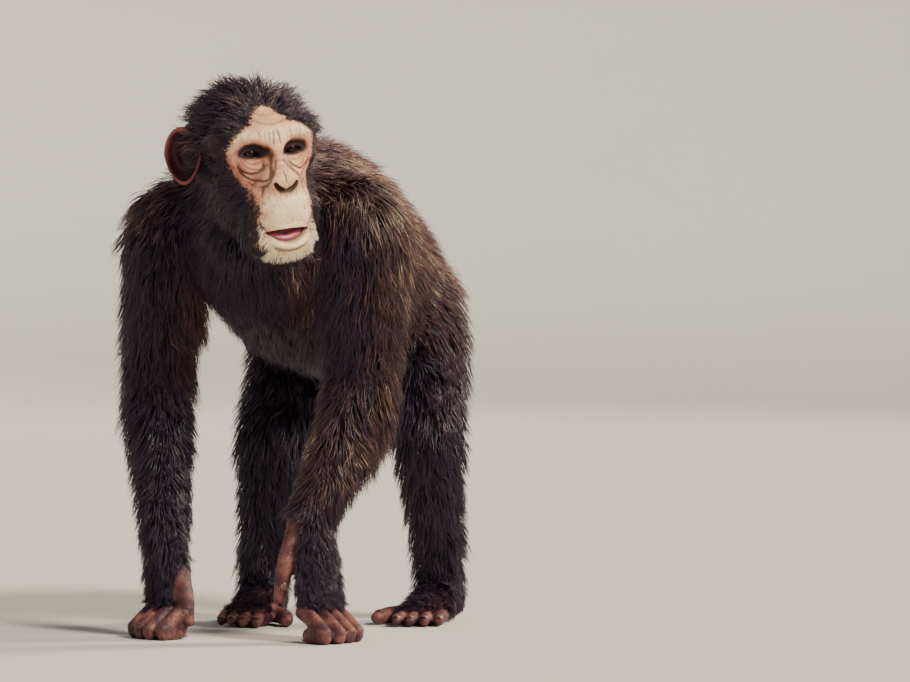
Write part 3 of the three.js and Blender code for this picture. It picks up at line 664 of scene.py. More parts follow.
@dataclass
class Trunk:
    """The trunk with the root of the neck."""

    stations: Rows = (
        (0, -240, 590, 62, 70, 24, 0), (0, -198, 586, 104, 112, 28, 0), (0, -110, 576, 122, 134, 32, 0),
        (0, 0, 548, 124, 142, 32, 0), (0, 100, 518, 124, 132, 30, 0), (0, 200, 490, 116, 114, 30, 0),
        (0, 278, 468, 98, 92, 28, 0), (0, 318, 454, 60, 60, 26, 0), (0, 336, 447, 26, 28, 22, 0),
    )
    neck_stations: Rows = (
        (0, -100, 604, 92, 88, 30, 0), (2, -190, 640, 84, 80, 30, 0), (8, -256, 680, 60, 58, 20, 0),
    )
    yoke_stations: Rows = (
        (-116, -172, 606, 44, 40, 28, 0), (-60, -168, 634, 58, 50, 30, 0), (0, -166, 644, 66, 56, 30, 0),
        (60, -168, 634, 58, 50, 30, 0), (116, -172, 606, 44, 40, 28, 0),
    )

    @property
    def form(self) -> Form:
        """The trunk from its chest to its rump."""
        return Form(np.array(self.stations, float))

    @property
    def neck(self) -> Form:
        """The neck from between the shoulders into the head."""
        return Form(np.array(self.neck_stations, float))

    @property
    def yoke(self) -> Form:
        """The shoulders, from the right one over the root of the neck to the left one."""
        return Form(np.array(self.yoke_stations, float), side=(0, 1, 0))


# The head, in its own frame: -y is forward, +x its left and +z up, from midway between the ears


@dataclass(frozen=True)
class Crease:
    """A fold of the face, along points of x and z as seen from in front."""

    points: Rows
    depth: float
    width: float  # half of it, at its start
    end_width: float | None = None  # at its end, where it differs

    def lines(self) -> list[Array]:
        """Its course, and the mirrored one too where it starts beside the middle."""
        made = smooth_curve(np.array(self.points, float), np.linspace(0, 1, 4 * len(self.points)))
        return [made, made * [-1, 1]] if self.points[0][0] > 0 else [made]

    def press(self, places: Array) -> Array:
        """How deep it presses at places of x and z.

        Args:
            places: rows of x and z.

        Returns:
            A depth for each place, in millimetres.
        """
        total = np.zeros(len(places))
        end_width = self.width if self.end_width is None else self.end_width
        for line in self.lines():
            reach = 3 * max(self.width, end_width)
            near = np.all((places > line.min(0) - reach) & (places < line.max(0) + reach), axis=1)
            spots = places[near]
            if not len(spots):
                continue
            best = np.zeros(len(spots))
            last = len(line) - 1
            for i, (a, b) in enumerate(zip(line, line[1:])):
                share = np.clip(((spots - a) @ (b - a)) / max((b - a) @ (b - a), 1e-9), 0, 1)
                gap = np.linalg.norm(spots - a - share[:, None] * (b - a), axis=1)
                where = (i + share) / last
                width = self.width + (end_width - self.width) * where
                # It begins and ends shallow
                fade = np.minimum(1, 5 * np.minimum(where, 1 - where) + 0.25)
                best = np.maximum(best, fade * bell(gap / width))
            total[near] += best * self.depth
        return total


def arc(centre: Row, wide: float, high: float, start: float, stop: float) -> list[list[float]]:
    """Points of an arc about a centre, between two angles in degrees."""
    angles = np.radians(np.linspace(start, stop, 7))
    return [[centre[0] + wide * math.cos(a), centre[1] + high * math.sin(a)] for a in angles]


@dataclass
class Head:
    """The head with its face."""

    at: Row = (12, -275, 697)
    yaw: float = 43
    pitch: float = 12
    roll: float = -7
    centre: Row = (0, -25, -12)  # where the rays that find its skin start
    coat: float = 21
    eye_half_span: float = 31
    eye_height: float = 16
    eye_radius: float = 11.5
    eye_sunk: float = 9  # how far an eyeball's middle lies behind the skin
    lid: float = 1.3  # its thickness
    slit: Row = (11.5, 4.5)  # the half-width and half-height of the open lids
    lower_lid: float = 0.9  # how far the lower one opens, as a share of the upper
    slit_tilt: float = 6
    bag: float = 1.6  # how far the bags under the eyes stand out
    wing: float = 1.6  # how deep the wings of the nose are set off
    mouth_half_width: float = 31
    mouth_height: float = -93
    mouth_rise: float = 6  # how much higher its corners are than its middle
    mouth_half_open: float = 9.6
    mouth_depth: float = 15
    lower_lip: Row = (4.0, -14.5, 5.0)  # how far it stands out, where from the mouth's line, and how wide
    upper_lip: Row = (1.6, 12, 4.0)
    lobe_blend: float = 20
    orbit_blend: float = 9
    coat_edge: float = 16  # how far from the bare face the coat has its full depth
    # The rounded masses that the head is melted from, on both sides: their middles and half-sizes
    lobes: Sequence[tuple[Row, Row]] = (
        ((0, 0, 30), (67, 80, 52)), ((0, 32, 4), (62, 62, 50)), ((30, -76, 43), (26, 16, 11)),
        ((0, -79, 45), (22, 12, 11)), ((52, -64, 35), (13, 15, 13)), ((55, -56, 16), (10, 15, 22)),
        ((44, -56, 2), (19, 26, 24)), ((0, -74, -6), (42, 34, 46)), ((0, -90, -50), (47, 42, 42)),
        ((0, -102, -69), (49, 31, 25)), ((0, -91, -98), (49, 43, 24)), ((0, -111, -110), (41, 26, 18)),
        ((32, -44, -52), (28, 46, 44)), ((0, -24, -60), (44, 52, 40)), ((0, -114, -14), (16, 13, 11)),
        ((13, -117, -17), (10, 10, 8)), ((0, -90, 8), (8, 14, 24)),
    )
    orbit: tuple[Row, Row] = ((31, -101, 17), (21, 22, 15))
    # The bare face's half-width at heights from the chin to the forehead
    face_edge: Rows = (
        (-134, 18), (-120, 30), (-100, 41), (-71, 43), (-54, 38),
        (-28, 42), (-10, 53), (6, 61), (26, 62), (40, 57),
        (50, 45), (58, 28), (66, 14), (76, 5), (84, 0),
    )
    # and the place from front to back, at heights, behind which none of it lies
    face_backs: Rows = (
        (-134, -120), (-112, -120), (-90, -110), (-54, -107),
        (-38, -88), (-20, -63), (-4, -46),
    )
    # Dark moles of the face: x, z and radius
    moles: Rows = (
        (-24.5, -38, 1.5), (-31, -46, 1.4), (-32.5, -50, 1.5), (-34, -54, 1.3),
        (-37, -66, 1.0), (12, -62, 0.9), (-6, -67, 0.8), (27, -56, 0.8),
        (-47, 43, 1.4), (-25, 49, 1.1), (14, 53, 1.0), (40, 46, 1.2),
        (52, 38, 1.0),
    )
    face_level: int = 5  # of the ball that the head starts as
    # Windows of the face where its mesh is finer, and finest: half-width, lowest and highest
    finer: Rows = ((58, -24, 60), (32, -46, 0), (46, -128, -66))
    finest: Rows = ((19, -35, -15), (39, -119, -79))
    finest_eye: float = 17

    @property
    def axes(self) -> Array:
        """The head's directions in the body's frame, as columns."""
        return turn(2, self.yaw) @ turn(0, self.pitch) @ turn(1, self.roll)

    def to_body(self, points: Array) -> Array:
        """Places of the head's frame in the animal's."""
        return points @ self.axes.T + np.array(self.at)

    def to_head(self, points: Array) -> Array:
        """Places of the animal's frame in the head's."""
        return (points - np.array(self.at)) @ self.axes

    def distance(self, points: Array) -> Array:
        """The distance to the skin of the head before its folds, negative inside.

        Args:
            points: places of the head's frame.

        Returns:
            A distance for each, in millimetres.
        """

        def lobe(at: Row, size: Row) -> Array:
            """The distance to one mass, about right when near it."""
            q = (points - np.array(at)) / np.array(size)
            scaled = np.linalg.norm(q, axis=1)
            return scaled * (scaled - 1) / np.maximum(np.linalg.norm(q / np.array(size), axis=1), 1e-6)

        total = np.full(len(points), 1e3)
        for (x, y, z), size in self.lobes:
            for sign in (1, -1) if x else (1,):
                total = blend(total, lobe((sign * x, y, z), size), self.lobe_blend)
        (x, y, z), size = self.orbit
        for side in Side:
            total = -blend(-total, lobe((side.value * x, y, z), size), self.orbit_blend)
        return total

    def skin_point(self, start: Array, way: Array, reach: float = 240) -> Array:
        """Where lines from inside leave the skin, seen from outside.

        Args:
            start: where the lines start.
            way: their directions.
            reach: how far out the search starts.

        Returns:
            A place on the skin for each line.
        """
        outside = np.full(len(way), reach)
        for _ in range(60):
            gap = self.distance(start + way * outside[:, None])
            outside = np.where(gap > 0.4, np.maximum(outside - np.clip(gap * 0.7, 0.3, 8), 0), outside)
        inside = np.maximum(outside - 4, 0)
        outside = outside + 2
        for _ in range(14):
            middle = (inside + outside) / 2
            past = self.distance(start + way * middle[:, None]) > 0
            outside = np.where(past, middle, outside)
            inside = np.where(past, inside, middle)
        return start + way * inside[:, None]

    def eye_at(self, side: Side) -> Array:
        """The middle of one eyeball in the head's frame."""
        start = np.array([[side.value * self.eye_half_span, 0, self.eye_height]])
        return self.skin_point(start, np.array([[0.0, -1, 0]]))[0] + [0, self.eye_sunk, 0]

    def past_face(self, points: Array) -> Array:
        """How far places lie outside the bare face."""
        tables = (np.array(rows, float).T for rows in (self.face_edge, self.face_backs))
        edge, back = (np.interp(points[:, 2], *table) for table in tables)
        return np.maximum(np.abs(points[:, 0]) - edge, points[:, 1] - back)

    def coat_depth(self, points: Array) -> Array:
        """How deep the coat lies over the head."""
        return self.coat * ease(self.past_face(points), 0, self.coat_edge)

    def creases(self) -> list[Crease]:
        """The folds of the face, as they are before they are mirrored."""
        eye = [self.eye_half_span, self.eye_height]
        under_lip = [[-30, -102], [-20, -110], [-9, -113], [0, -114], [9, -113], [20, -110], [30, -102]]
        made = [
            Crease(arc(eye, 16, 10, 15, 165), 1.3, 1.2),
            Crease(arc(eye, 15.5, 12, 205, 335), 0.9, 1.0),
            Crease(arc(eye, 19, 19, 200, 335), 1.2, 1.1),
            Crease([[17, 8], [23, 0], [30, -6], [38, -8.5], [47, -5.5], [54, 3]], 2.4, 1.5, 1.0),
            Crease([[15, 0], [22, -10], [31, -16.5], [40, -16], [48, -9], [53, -2]], 2.1, 1.6, 1.1),
            Crease([[24, -20], [33, -25], [43, -21]], 0.9, 1.5),
            Crease([[8, 24], [10, 12], [15, 1], [22, -9]], 1.5, 1.3),
            Crease([[5, 16], [8, 6], [13, -2], [21, -13], [29, -27], [33, -44]], 1.5, 1.7),
            Crease([[-9, 8], [0, 10], [9, 8]], 1.0, 1.1),
            Crease([[-8, 1], [0, 3], [8, 1]], 0.8, 1.1),
            Crease([[-1.5, -1], [-1, -9], [0, -19]], 1.7, 1.0),
            Crease([[0, -30], [0.4, -35], [0, -42]], 1.1, 1.1),
            Crease([[33, -16], [41, -30], [44, -50]], 1.0, 1.7),
            Crease([[45, 20], [51, 14], [55, 6]], 1.0, 1.0),
            Crease([[46, 14], [51, 6], [54, -4]], 0.9, 1.0),
            Crease([[31, -84], [36, -79], [40, -69]], 1.5, 1.4),
            Crease([[33, -90], [38, -96], [38, -106]], 1.1, 1.4),
            Crease(under_lip, 1.3, 2.8),
            Crease([[-30, 61], [0, 58], [30, 61]], 0.9, 1.6),
            Crease([[-20, 68], [0, 65], [20, 68]], 0.7, 1.6),
            Crease([[3.2, 51], [4.5, 42], [5.5, 31]], 1.7, 1.1),
            Crease([[10.5, 49], [11, 41], [11.5, 33]], 1.0, 0.9),
        ]
        for index, across in enumerate(np.linspace(16, 50, 8)):
            lean = 1.5 * math.sin(index * 2.3)
            foot = 34 + 2.5 * math.sin(index * 1.7)
            line = [[across, foot], [across + lean, 42], [across + 1.6 * lean, 50]]
            made.append(Crease(line, 0.8, 0.85))
        for index, across in enumerate(np.linspace(2, 27, 8)):
            line = [[across, -83 + 0.2 * index], [across * 1.05, -76], [across * 1.08, -69]]
            made.append(Crease(line, 0.45, 0.8))
        return made

    def nostrils(self) -> Crease:
        """The comma of each nostril, broad near the middle and thin at its raised outer end."""
        line = [[3.8, -30.4], [6.8, -29.0], [10.4, -26.2], [13.8, -22.4], [16.0, -18.0]]
        return Crease(line, 10, 3.5, 2.2)

    def mouth_gap(self, points: Array) -> tuple[Array, Array]:
        """Where places lie from the line of the lips.

        Args:
            points: places of the head's frame.

        Returns:
            The height over the line, and 0 outside the opening to 1 inside it.
        """
        share = points[:, 0] / self.mouth_half_width
        height = points[:, 2] - self.mouth_height - self.mouth_rise * np.minimum(share**2, 1.4)
        opened = np.maximum(self.mouth_half_open * (1 - 0.96 * share**2), 0.05)
        inside = (1 - ease(np.abs(height) / opened, 0.86, 1.16)) * (np.abs(share) < 1.02)
        return height, np.where(points[:, 1] < -40, inside, 0)

    def fold(self, points: Array) -> tuple[Array, Array]:
        """Presses the folds, lids, nostrils and mouth into the skin.

        Args:
            points: places on the smooth skin.

        Returns:
            The moved places, and how dark each is painted: painted shade along the folds, in the nostrils
            and lid slits, and the dark moles.
        """
        front = (points[:, 1] < -35) & (self.past_face(points) < 14)
        moved = points.copy()
        dark = np.zeros(len(points))
        near = points[front]
        flat = near[:, [0, 2]]
        warped = flat + np.column_stack([soft_noise(near, 9, 1), soft_noise(near, 9, 2)]) * 0.8
        pressed = sum(crease.press(warped) for crease in self.creases())
        hollow = self.nostrils().press(flat)
        out = near - np.array(self.centre)
        out = unit(out * [0.6, 1, 0.7])
        made = near - out * pressed[:, None]
        for side in Side:
            bag = np.hypot((near[:, 0] - side.value * 32) / 13, (near[:, 2] + 1) / 9)
            made -= out * (-self.bag * bell(bag))[:, None]
            wing = np.hypot((near[:, 0] - side.value * 14) / 6, (near[:, 2] + 22) / 7)
            made += out * (self.wing * bell(wing))[:, None]
        rough = soft_noise(near, 3.2, 3) * 0.16 + soft_noise(near, 1.7, 4) * 0.1
        made += out * rough[:, None]
        made += np.array([0, 0.8, 0.6]) * hollow[:, None]
        height, inside = self.mouth_gap(near)
        share = np.clip(1 - (near[:, 0] / (self.mouth_half_width * 1.12)) ** 2, 0, 1) * (near[:, 1] < -60)
        pout = np.zeros(len(near))
        for rise, at, wide in (self.lower_lip, self.upper_lip):
            pout += rise * bell((height - at) / wide) * np.sqrt(share)
        made[:, 1] -= pout
        made[:, 1] += inside * self.mouth_depth
        moved[front] = made
        spots = np.zeros(len(near))
        for x, z, size in self.moles:
            spots += np.exp(-((np.hypot(near[:, 0] - x, near[:, 2] - z) / size) ** 4))
        # Painted shade along the bottoms of the folds and inside the nostrils, and the moles' own dark
        # colour
        dark[front] = 0.9 * np.clip(pressed / 1.4, 0, 1) ** 1.3 + np.clip(hollow / 2, 0, 1) + 0.85 * spots
        for side in Side:
            moved, dark = self.lids(side, points, moved, dark)
        return moved, dark

    def lids(self, side: Side, smooth: Array, moved: Array, dark: Array) -> tuple[Array, Array]:
        """Lays both lids over one eyeball and parts them.

        Args:
            side: which eye.
            smooth: the skin's places before any fold.
            moved: its places with the other folds.
            dark: how dark each place is.

        Returns:
            The moved places and their darkness, with the lids.
        """
        eye = self.eye_at(side)
        lean = math.radians(self.slit_tilt)
        across, up = side.value * (smooth[:, 0] - eye[0]), smooth[:, 2] - eye[2]
        cos, sin = math.cos(lean), math.sin(lean)
        along, over = across * cos + up * sin, up * cos - across * sin
        radius = self.eye_radius + self.lid
        bulge = radius**2 - across**2 - up**2
        front = (smooth[:, 1] < -50) & (bulge > -160)
        lid_y = eye[1] - np.sqrt(np.maximum(bulge, 0.01))
        covered = np.where(bulge > 0, blend(moved[:, 1], lid_y, 3.0), moved[:, 1])
        half_height = np.where(over > 0, self.slit[1], self.slit[1] * self.lower_lid)
        open_share = np.hypot(along / self.slit[0], over / half_height)
        opened = 1 - ease(open_share, 0.93, 1.05)
        made = moved.copy()
        made[front, 1] = covered[front] + (eye[1] - 4 - covered[front]) * opened[front]
        edge = bell((open_share - 1.02) / 0.12)
        shade = np.where(front, np.clip(opened + 0.9 * edge, 0, 1), 0)
        return made, np.maximum(dark, shade)

    def build(self) -> Piece:
        """The head as a closed mesh, finest about its eyes, nose and mouth.

        Returns:
            The new object.
        """
        bpy.ops.mesh.primitive_ico_sphere_add(subdivisions=self.face_level, radius=1)
        head = bpy.context.active_object
        head.name = "head_skin"
        centre = np.array(self.centre, float)
        smooth = self.skin_point(centre, unit(read_points(head.data)))
        write_points(head.data, smooth)

        def refine(windows: Rows, about_eyes: bool) -> None:
            """Divides the faces inside windows of the face, and puts the new vertices on the skin."""
            points = read_points(head.data)
            x, _, z = points.T
            chosen = [(np.abs(x) < wide) & (z > low) & (z < high) for wide, low, high in windows]
            if about_eyes:
                away = np.hypot(np.abs(x) - self.eye_half_span, z - self.eye_height)
                chosen.append(away < self.finest_eye)
            chosen = np.any(chosen, axis=0) & (self.past_face(points) < 8) & (points[:, 1] < -30)
            only(head)
            bpy.ops.object.mode_set(mode="EDIT")
            bpy.ops.mesh.select_all(action="DESELECT")
            bpy.ops.mesh.select_mode(type="VERT")
            bpy.ops.object.mode_set(mode="OBJECT")
            head.data.vertices.foreach_set("select", chosen)
            bpy.ops.object.mode_set(mode="EDIT")
            bpy.ops.mesh.select_mode(type="FACE")
            bpy.ops.mesh.subdivide(number_cuts=1)
            bpy.ops.object.mode_set(mode="OBJECT")
            way = unit(read_points(head.data) - centre)
            write_points(head.data, self.skin_point(centre, way))

        refine(((np.inf, -np.inf, np.inf),), False)
        refine(self.finer, False)
        refine(self.finest, True)
        smooth = read_points(head.data)
        moved, dark = self.fold(smooth)
        write_points(head.data, to_scene(self.to_body(moved)))
        # Kept for the skin's colour: painted shade of the folds, nostrils and lids, and the moles
        layer = head.data.attributes.new("folded", "FLOAT", "POINT")
        layer.data.foreach_set("value", dark.astype(np.float32))
        face_out(head)
        return head


@dataclass
class Ear:
    """One ear: a cup with a rolled rim, longer than wide and drawn down to its lobe."""

    head: Head
    side: Side
    at: Row = (91, 28, -1)
    out: Row = (0.8, -0.6, 0.05)
    half_width: float = 29
    half_height: float = 42
    # The cup's section from the middle of its bowl round the rim to the middle of its back
    section: Rows = (
        (0, -13.5), (0.3, -12.8), (0.58, -9.5), (0.78, -3),
        (0.84, 3), (0.9, 6.3), (0.97, 5.6), (1, 1.5),
        (0.93, -3.5), (0.78, -9.5), (0.5, -14.5), (0, -17),
    )

    def axes(self) -> tuple[Array, Array, Array]:
        """The ways out of the cup, to its back edge and up, in the head's frame.

        Returns:
            Three unit vectors.
        """
        sign = self.side.value
        out = unit(np.array([sign * self.out[0], self.out[1], self.out[2]]))
        back = unit(np.cross([0, 0, 1], out) * sign)
        return out, back, unit(np.cross(out, back) * sign)

    def spot(self, local: Array) -> tuple[Array, Array]:
        """Where places lie in the cup.

        Args:
            local: places of the head's frame.

        Returns:
            How far each is from the cup's middle, 1 at its rim, and how far out of it.
        """
        out, back, up = self.axes()
        away = local - np.array(self.at) * [self.side.value, 1, 1]
        return np.hypot(away @ back / self.half_width, away @ up / self.half_height), away @ out

    def holds(self, local: Array) -> Array:
        """Which places of the head's frame lie on this ear."""
        radius, proud = self.spot(local)
        return (radius < 1.1) & (proud > -21) & (proud < 13)

    def build(self) -> Piece:
        """The ear as a closed mesh.

        Returns:
            The new object.
        """
        out, back, up = self.axes()
        at = np.array(self.at, float) * [self.side.value, 1, 1]

        def place(share: Array, angle: Array) -> Array:
            """Places of the cup, with the ridge, flap and hollow inside it and its lobe."""
            radius, height = smooth_curve(np.array(self.section, float), share).T
            x, z = radius * np.cos(angle), radius * np.sin(angle)
            inner = share < 0.42
            ridge = bell((radius - 0.56) / 0.09) * ease(z + 0.5 * x, -0.35, 0.15)
            tragus = np.exp(-(((x + 0.62) / 0.14) ** 2 + ((z + 0.22) / 0.18) ** 2))
            canal = np.exp(-(((x + 0.35) / 0.2) ** 2 + ((z + 0.12) / 0.22) ** 2))
            height = height + inner * (5.5 * ridge + 7 * tragus - 4 * canal)
            roll = ease(z, 0.2, 0.9) * bell((radius - 0.9) / 0.08)
            height = height + 2.0 * roll
            narrow = np.where(z < 0, 1 + 0.28 * z, 1)
            lobe = ease(-z, 0.55, 0.95) * 2.2
            made = back * (x * narrow * self.half_width)[:, None] + up * (z * self.half_height)[:, None]
            made = made + out * (height + 4 * x - lobe * (height > 0))[:, None] + at
            return self.head.to_body(made)

        return shaped_ball(f"ear_{self.side.word}_skin", 56, 60, place)


# The parts at their places

HEAD = Head()
SHIFT = frame_shift()
TRUNK = Trunk()
ARMS = [
    Arm(
        Side.LEFT,
        shoulder=(142, -172, 592),
        elbow=(126, -130, 352),
        wrist=(72, -204, 158),
        knuckle=(96, -224, 50),
        points=66,
        thumb=((58, -212, 176), (50, -240, 112), (43, -248, 60)),
    ),
    Arm(
        Side.RIGHT,
        shoulder=(-152, -172, 592),
        elbow=(-186, -140, 344),
        wrist=(-148, -206, 124),
        knuckle=(-134, -220, 50),
        points=-28,
        thumb=((-120, -214, 98), (-105, -236, 60), (-97, -244, 24)),
    ),
]
LEGS = [
    Leg(Side.LEFT, hip=(80, 228, 464), knee=(138, 122, 272), ankle=(124, 214, 76), points=2),
    Leg(Side.RIGHT, hip=(-80, 222, 464), knee=(-98, 92, 272), ankle=(-120, 116, 76), points=8),
]


@dataclass
class Skin:
    """The skin of the whole animal as one closed surface."""

    body_voxel: float = 8.0
    hand_voxel: float = 2.4
    foot_voxel: float = 2.8
    arm_join: Row = (0.68, 0.73)  # shares of the arm where its fine end begins and its coarse part ends
    leg_join: Row = (0.76, 0.81)
    sunk: float = 0.8  # how far the coarse part lies under the fine end
    finger_wrinkles: Row = (0.5, 4.2)  # how deep and how far apart
    toe_wrinkles: Row = (0.45, 4.0)
    piece: Piece | None = None
    points: Array = field(default_factory=lambda: np.zeros((0, 3)))
    normals: Array = field(default_factory=lambda: np.zeros((0, 3)))

    def body(self) -> Piece:
        """The trunk, neck and upper limbs."""
        parts = [TRUNK.form.ball("trunk_form", 48, 44), TRUNK.neck.ball("neck_form", 40, 24)]
        parts.append(TRUNK.yoke.ball("yoke_form", 32, 32))
        parts += [arm.form.ball("arm_form", 32, 48, 0, self.arm_join[1], -self.sunk) for arm in ARMS]
        parts += [leg.form.ball("leg_form", 32, 44, 0, self.leg_join[1], -self.sunk) for leg in LEGS]
        return melt("body_skin", parts, self.body_voxel, 4)

    def hand(self, arm: Arm) -> Piece:
        """The end of a forearm with its hand."""
        parts = [arm.form.ball("hand_form", 48, 40, self.arm_join[0], 1)]
        return self.limb_end(arm, "hand", parts, self.hand_voxel, self.finger_wrinkles)

    def foot(self, leg: Leg) -> Piece:
        """The end of a shank with its foot."""
        shank = leg.form.ball("shank_form", 40, 32, self.leg_join[0], 1)
        parts = [shank, leg.sole.ball("sole_form", 40, 32)]
        return self.limb_end(leg, "foot", parts, self.foot_voxel, self.toe_wrinkles)

    def limb_end(
        self, limb_: Arm | Leg, word: str, parts: list[Piece], voxel: float, wrinkles: Row
    ) -> Piece:
        """A hand or foot with its digits.

        Args:
            limb_: the limb that it ends.
            word: what it is.
            parts: the pieces that it is melted from, apart from its digits.
            voxel: the size of its faces, in millimetres.
            wrinkles: how deep they are and how far apart.

        Returns:
            The new object.
        """
        parts += [form.ball("digit_form", 20, 24) for form in limb_.digits()]
        made = melt(f"{word}_skin_{limb_.side.word}", parts, voxel, 3)
        self.wrinkle(made, limb_.digits(), *wrinkles)
        return made

    @staticmethod
    def wrinkle(made: Piece, digits: Sequence[Form], depth: float, pitch: float) -> None:
        """Presses the cross wrinkles of bare skin into a hand or foot.

        Args:
            made: the hand or foot.
            digits: the forms of its digits.
            depth: how deep the wrinkles are.
            pitch: how far they are apart.
        """
        points = from_scene(read_points(made.data))
        normals = read_normals(made.data)
        pressed = 0.25 * soft_noise(points, 4.0, 5)
        for form in digits:
            apart = points[:, None] - form.path(np.linspace(0, 1, 9))[None]
            near = np.linalg.norm(apart, axis=2).min(1) < 18
            t, _, height = form.nearest(points[near], 40)
            length = np.linalg.norm(form.stations[-1, :3] - form.stations[0, :3])
            wave = t * length / pitch + 0.35 * soft_noise(points[near], 7, 6)
            knuckle = bell((t - 0.5) / 0.3)
            rows = np.abs(np.sin(np.pi * wave)) ** 0.5 - 0.8
            pressed[near] += depth * rows * (0.5 + knuckle) * bell(height / 4)
        points += normals * pressed[:, None]
        points[:, 2] = np.maximum(points[:, 2], 0)
        write_points(made.data, to_scene(points))

    def build(self) -> Piece:
        """Makes every part and unites them in one closed skin.

        Returns:
            The skin.
        """
        skin = self.body()
        parts = [self.hand(arm) for arm in ARMS] + [self.foot(leg) for leg in LEGS]
        parts += [HEAD.build()] + [Ear(HEAD, side).build() for side in Side]
        for part in parts:
            apply_modifier(skin, "BOOLEAN", operation="UNION", solver="MANIFOLD", object=part)
            bpy.data.objects.remove(part)
        skin.name = "skin"
        self.piece = skin
        self.points = from_scene(read_points(skin.data))
        self.normals = read_normals(skin.data)
        return skin

    def dress(self, chart: "Chart") -> None:
        """Marks the skin's zones, gives it its finish and hides the imported nodes of flesh.

        Args:
            chart: what grows on it.
        """
        mesh = self.piece.data
        local = HEAD.to_head(self.points)
        on_head = chart.is_head
        bare = on_head * (1 - ease(chart.coat, 2, 16)) * (local[:, 1] < -5)
        limbs = (~on_head) * (1 - ease(chart.coat, 3, 12)) * (self.points[:, 2] < 260)
        height, inside = HEAD.mouth_gap(local)
        x, y, z = local.T
        lips = bell(height / 6.0) * (np.abs(x) < 33) * bare * (y < -70)
        mouth = np.clip(inside + 0.55 * lips, 0, 1)
        write_colour(mesh, "zones", bare, limbs, mouth)
        orbit = np.zeros(len(x))
        cheek_blush_and_shade = np.zeros(len(x))
        for side in Side:
            # Dark skin round each eye with painted shade under the brow, so it reaches further up than down
            over = z - HEAD.eye_height - 3
            away = np.hypot((side.value * x - HEAD.eye_half_span) / 25, over / np.where(over > 0, 15.5, 11))
            away += 0.1 * soft_noise(local, 6, 31)
            orbit = np.maximum(orbit, 1 - ease(away, 0.55, 1.3))
            # Reddish cheek skin, stronger on the right cheek as painted shade
            flush_and_shade = 1.0 if side is Side.RIGHT else 0.6
            cheek_blush_and_shade = np.maximum(cheek_blush_and_shade, flush_and_shade * ease(side.value * x, 12, 42) * (1 - ease(z, 12, 30)))
        # Paler skin of the muzzle and brow, with a painted highlight along the brow ridge
        brow = bell((z - 44) / 9)
        light = np.maximum(brow, ease(-z, 22, 50) * (1 - ease(np.abs(x), 30, 46)))
        # A lighter roll round each ear's rim, partly a painted highlight
        rim = np.zeros(len(x))
        for side in Side:
            radius, proud = Ear(HEAD, side).spot(local)
            rim = np.maximum(rim, bell((radius - 0.93) / 0.1) * ease(proud, -1, 4))
        # The painted shade of the folds, nostrils and lids, with the moles
        fold = np.zeros(len(x), np.float32)
        mesh.attributes["folded"].data.foreach_get("value", fold)
        mesh.attributes.remove(mesh.attributes["folded"])
        write_colour(mesh, "marks", np.clip(fold, 0, 1), orbit * bare, cheek_blush_and_shade * bare, light * bare)
        write_colour(mesh, "ears", chart.on_ears, rim * chart.on_ears, 0.0)
        finish_piece(self.piece, SkinFinish().material())
        flesh = ["chest", "abdomen", "neck", "head", *(f"ear_{side.word}" for side in Side)]
        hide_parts(*flesh, *(node for limb_ in [*ARMS, *LEGS] for node in limb_.nodes()))


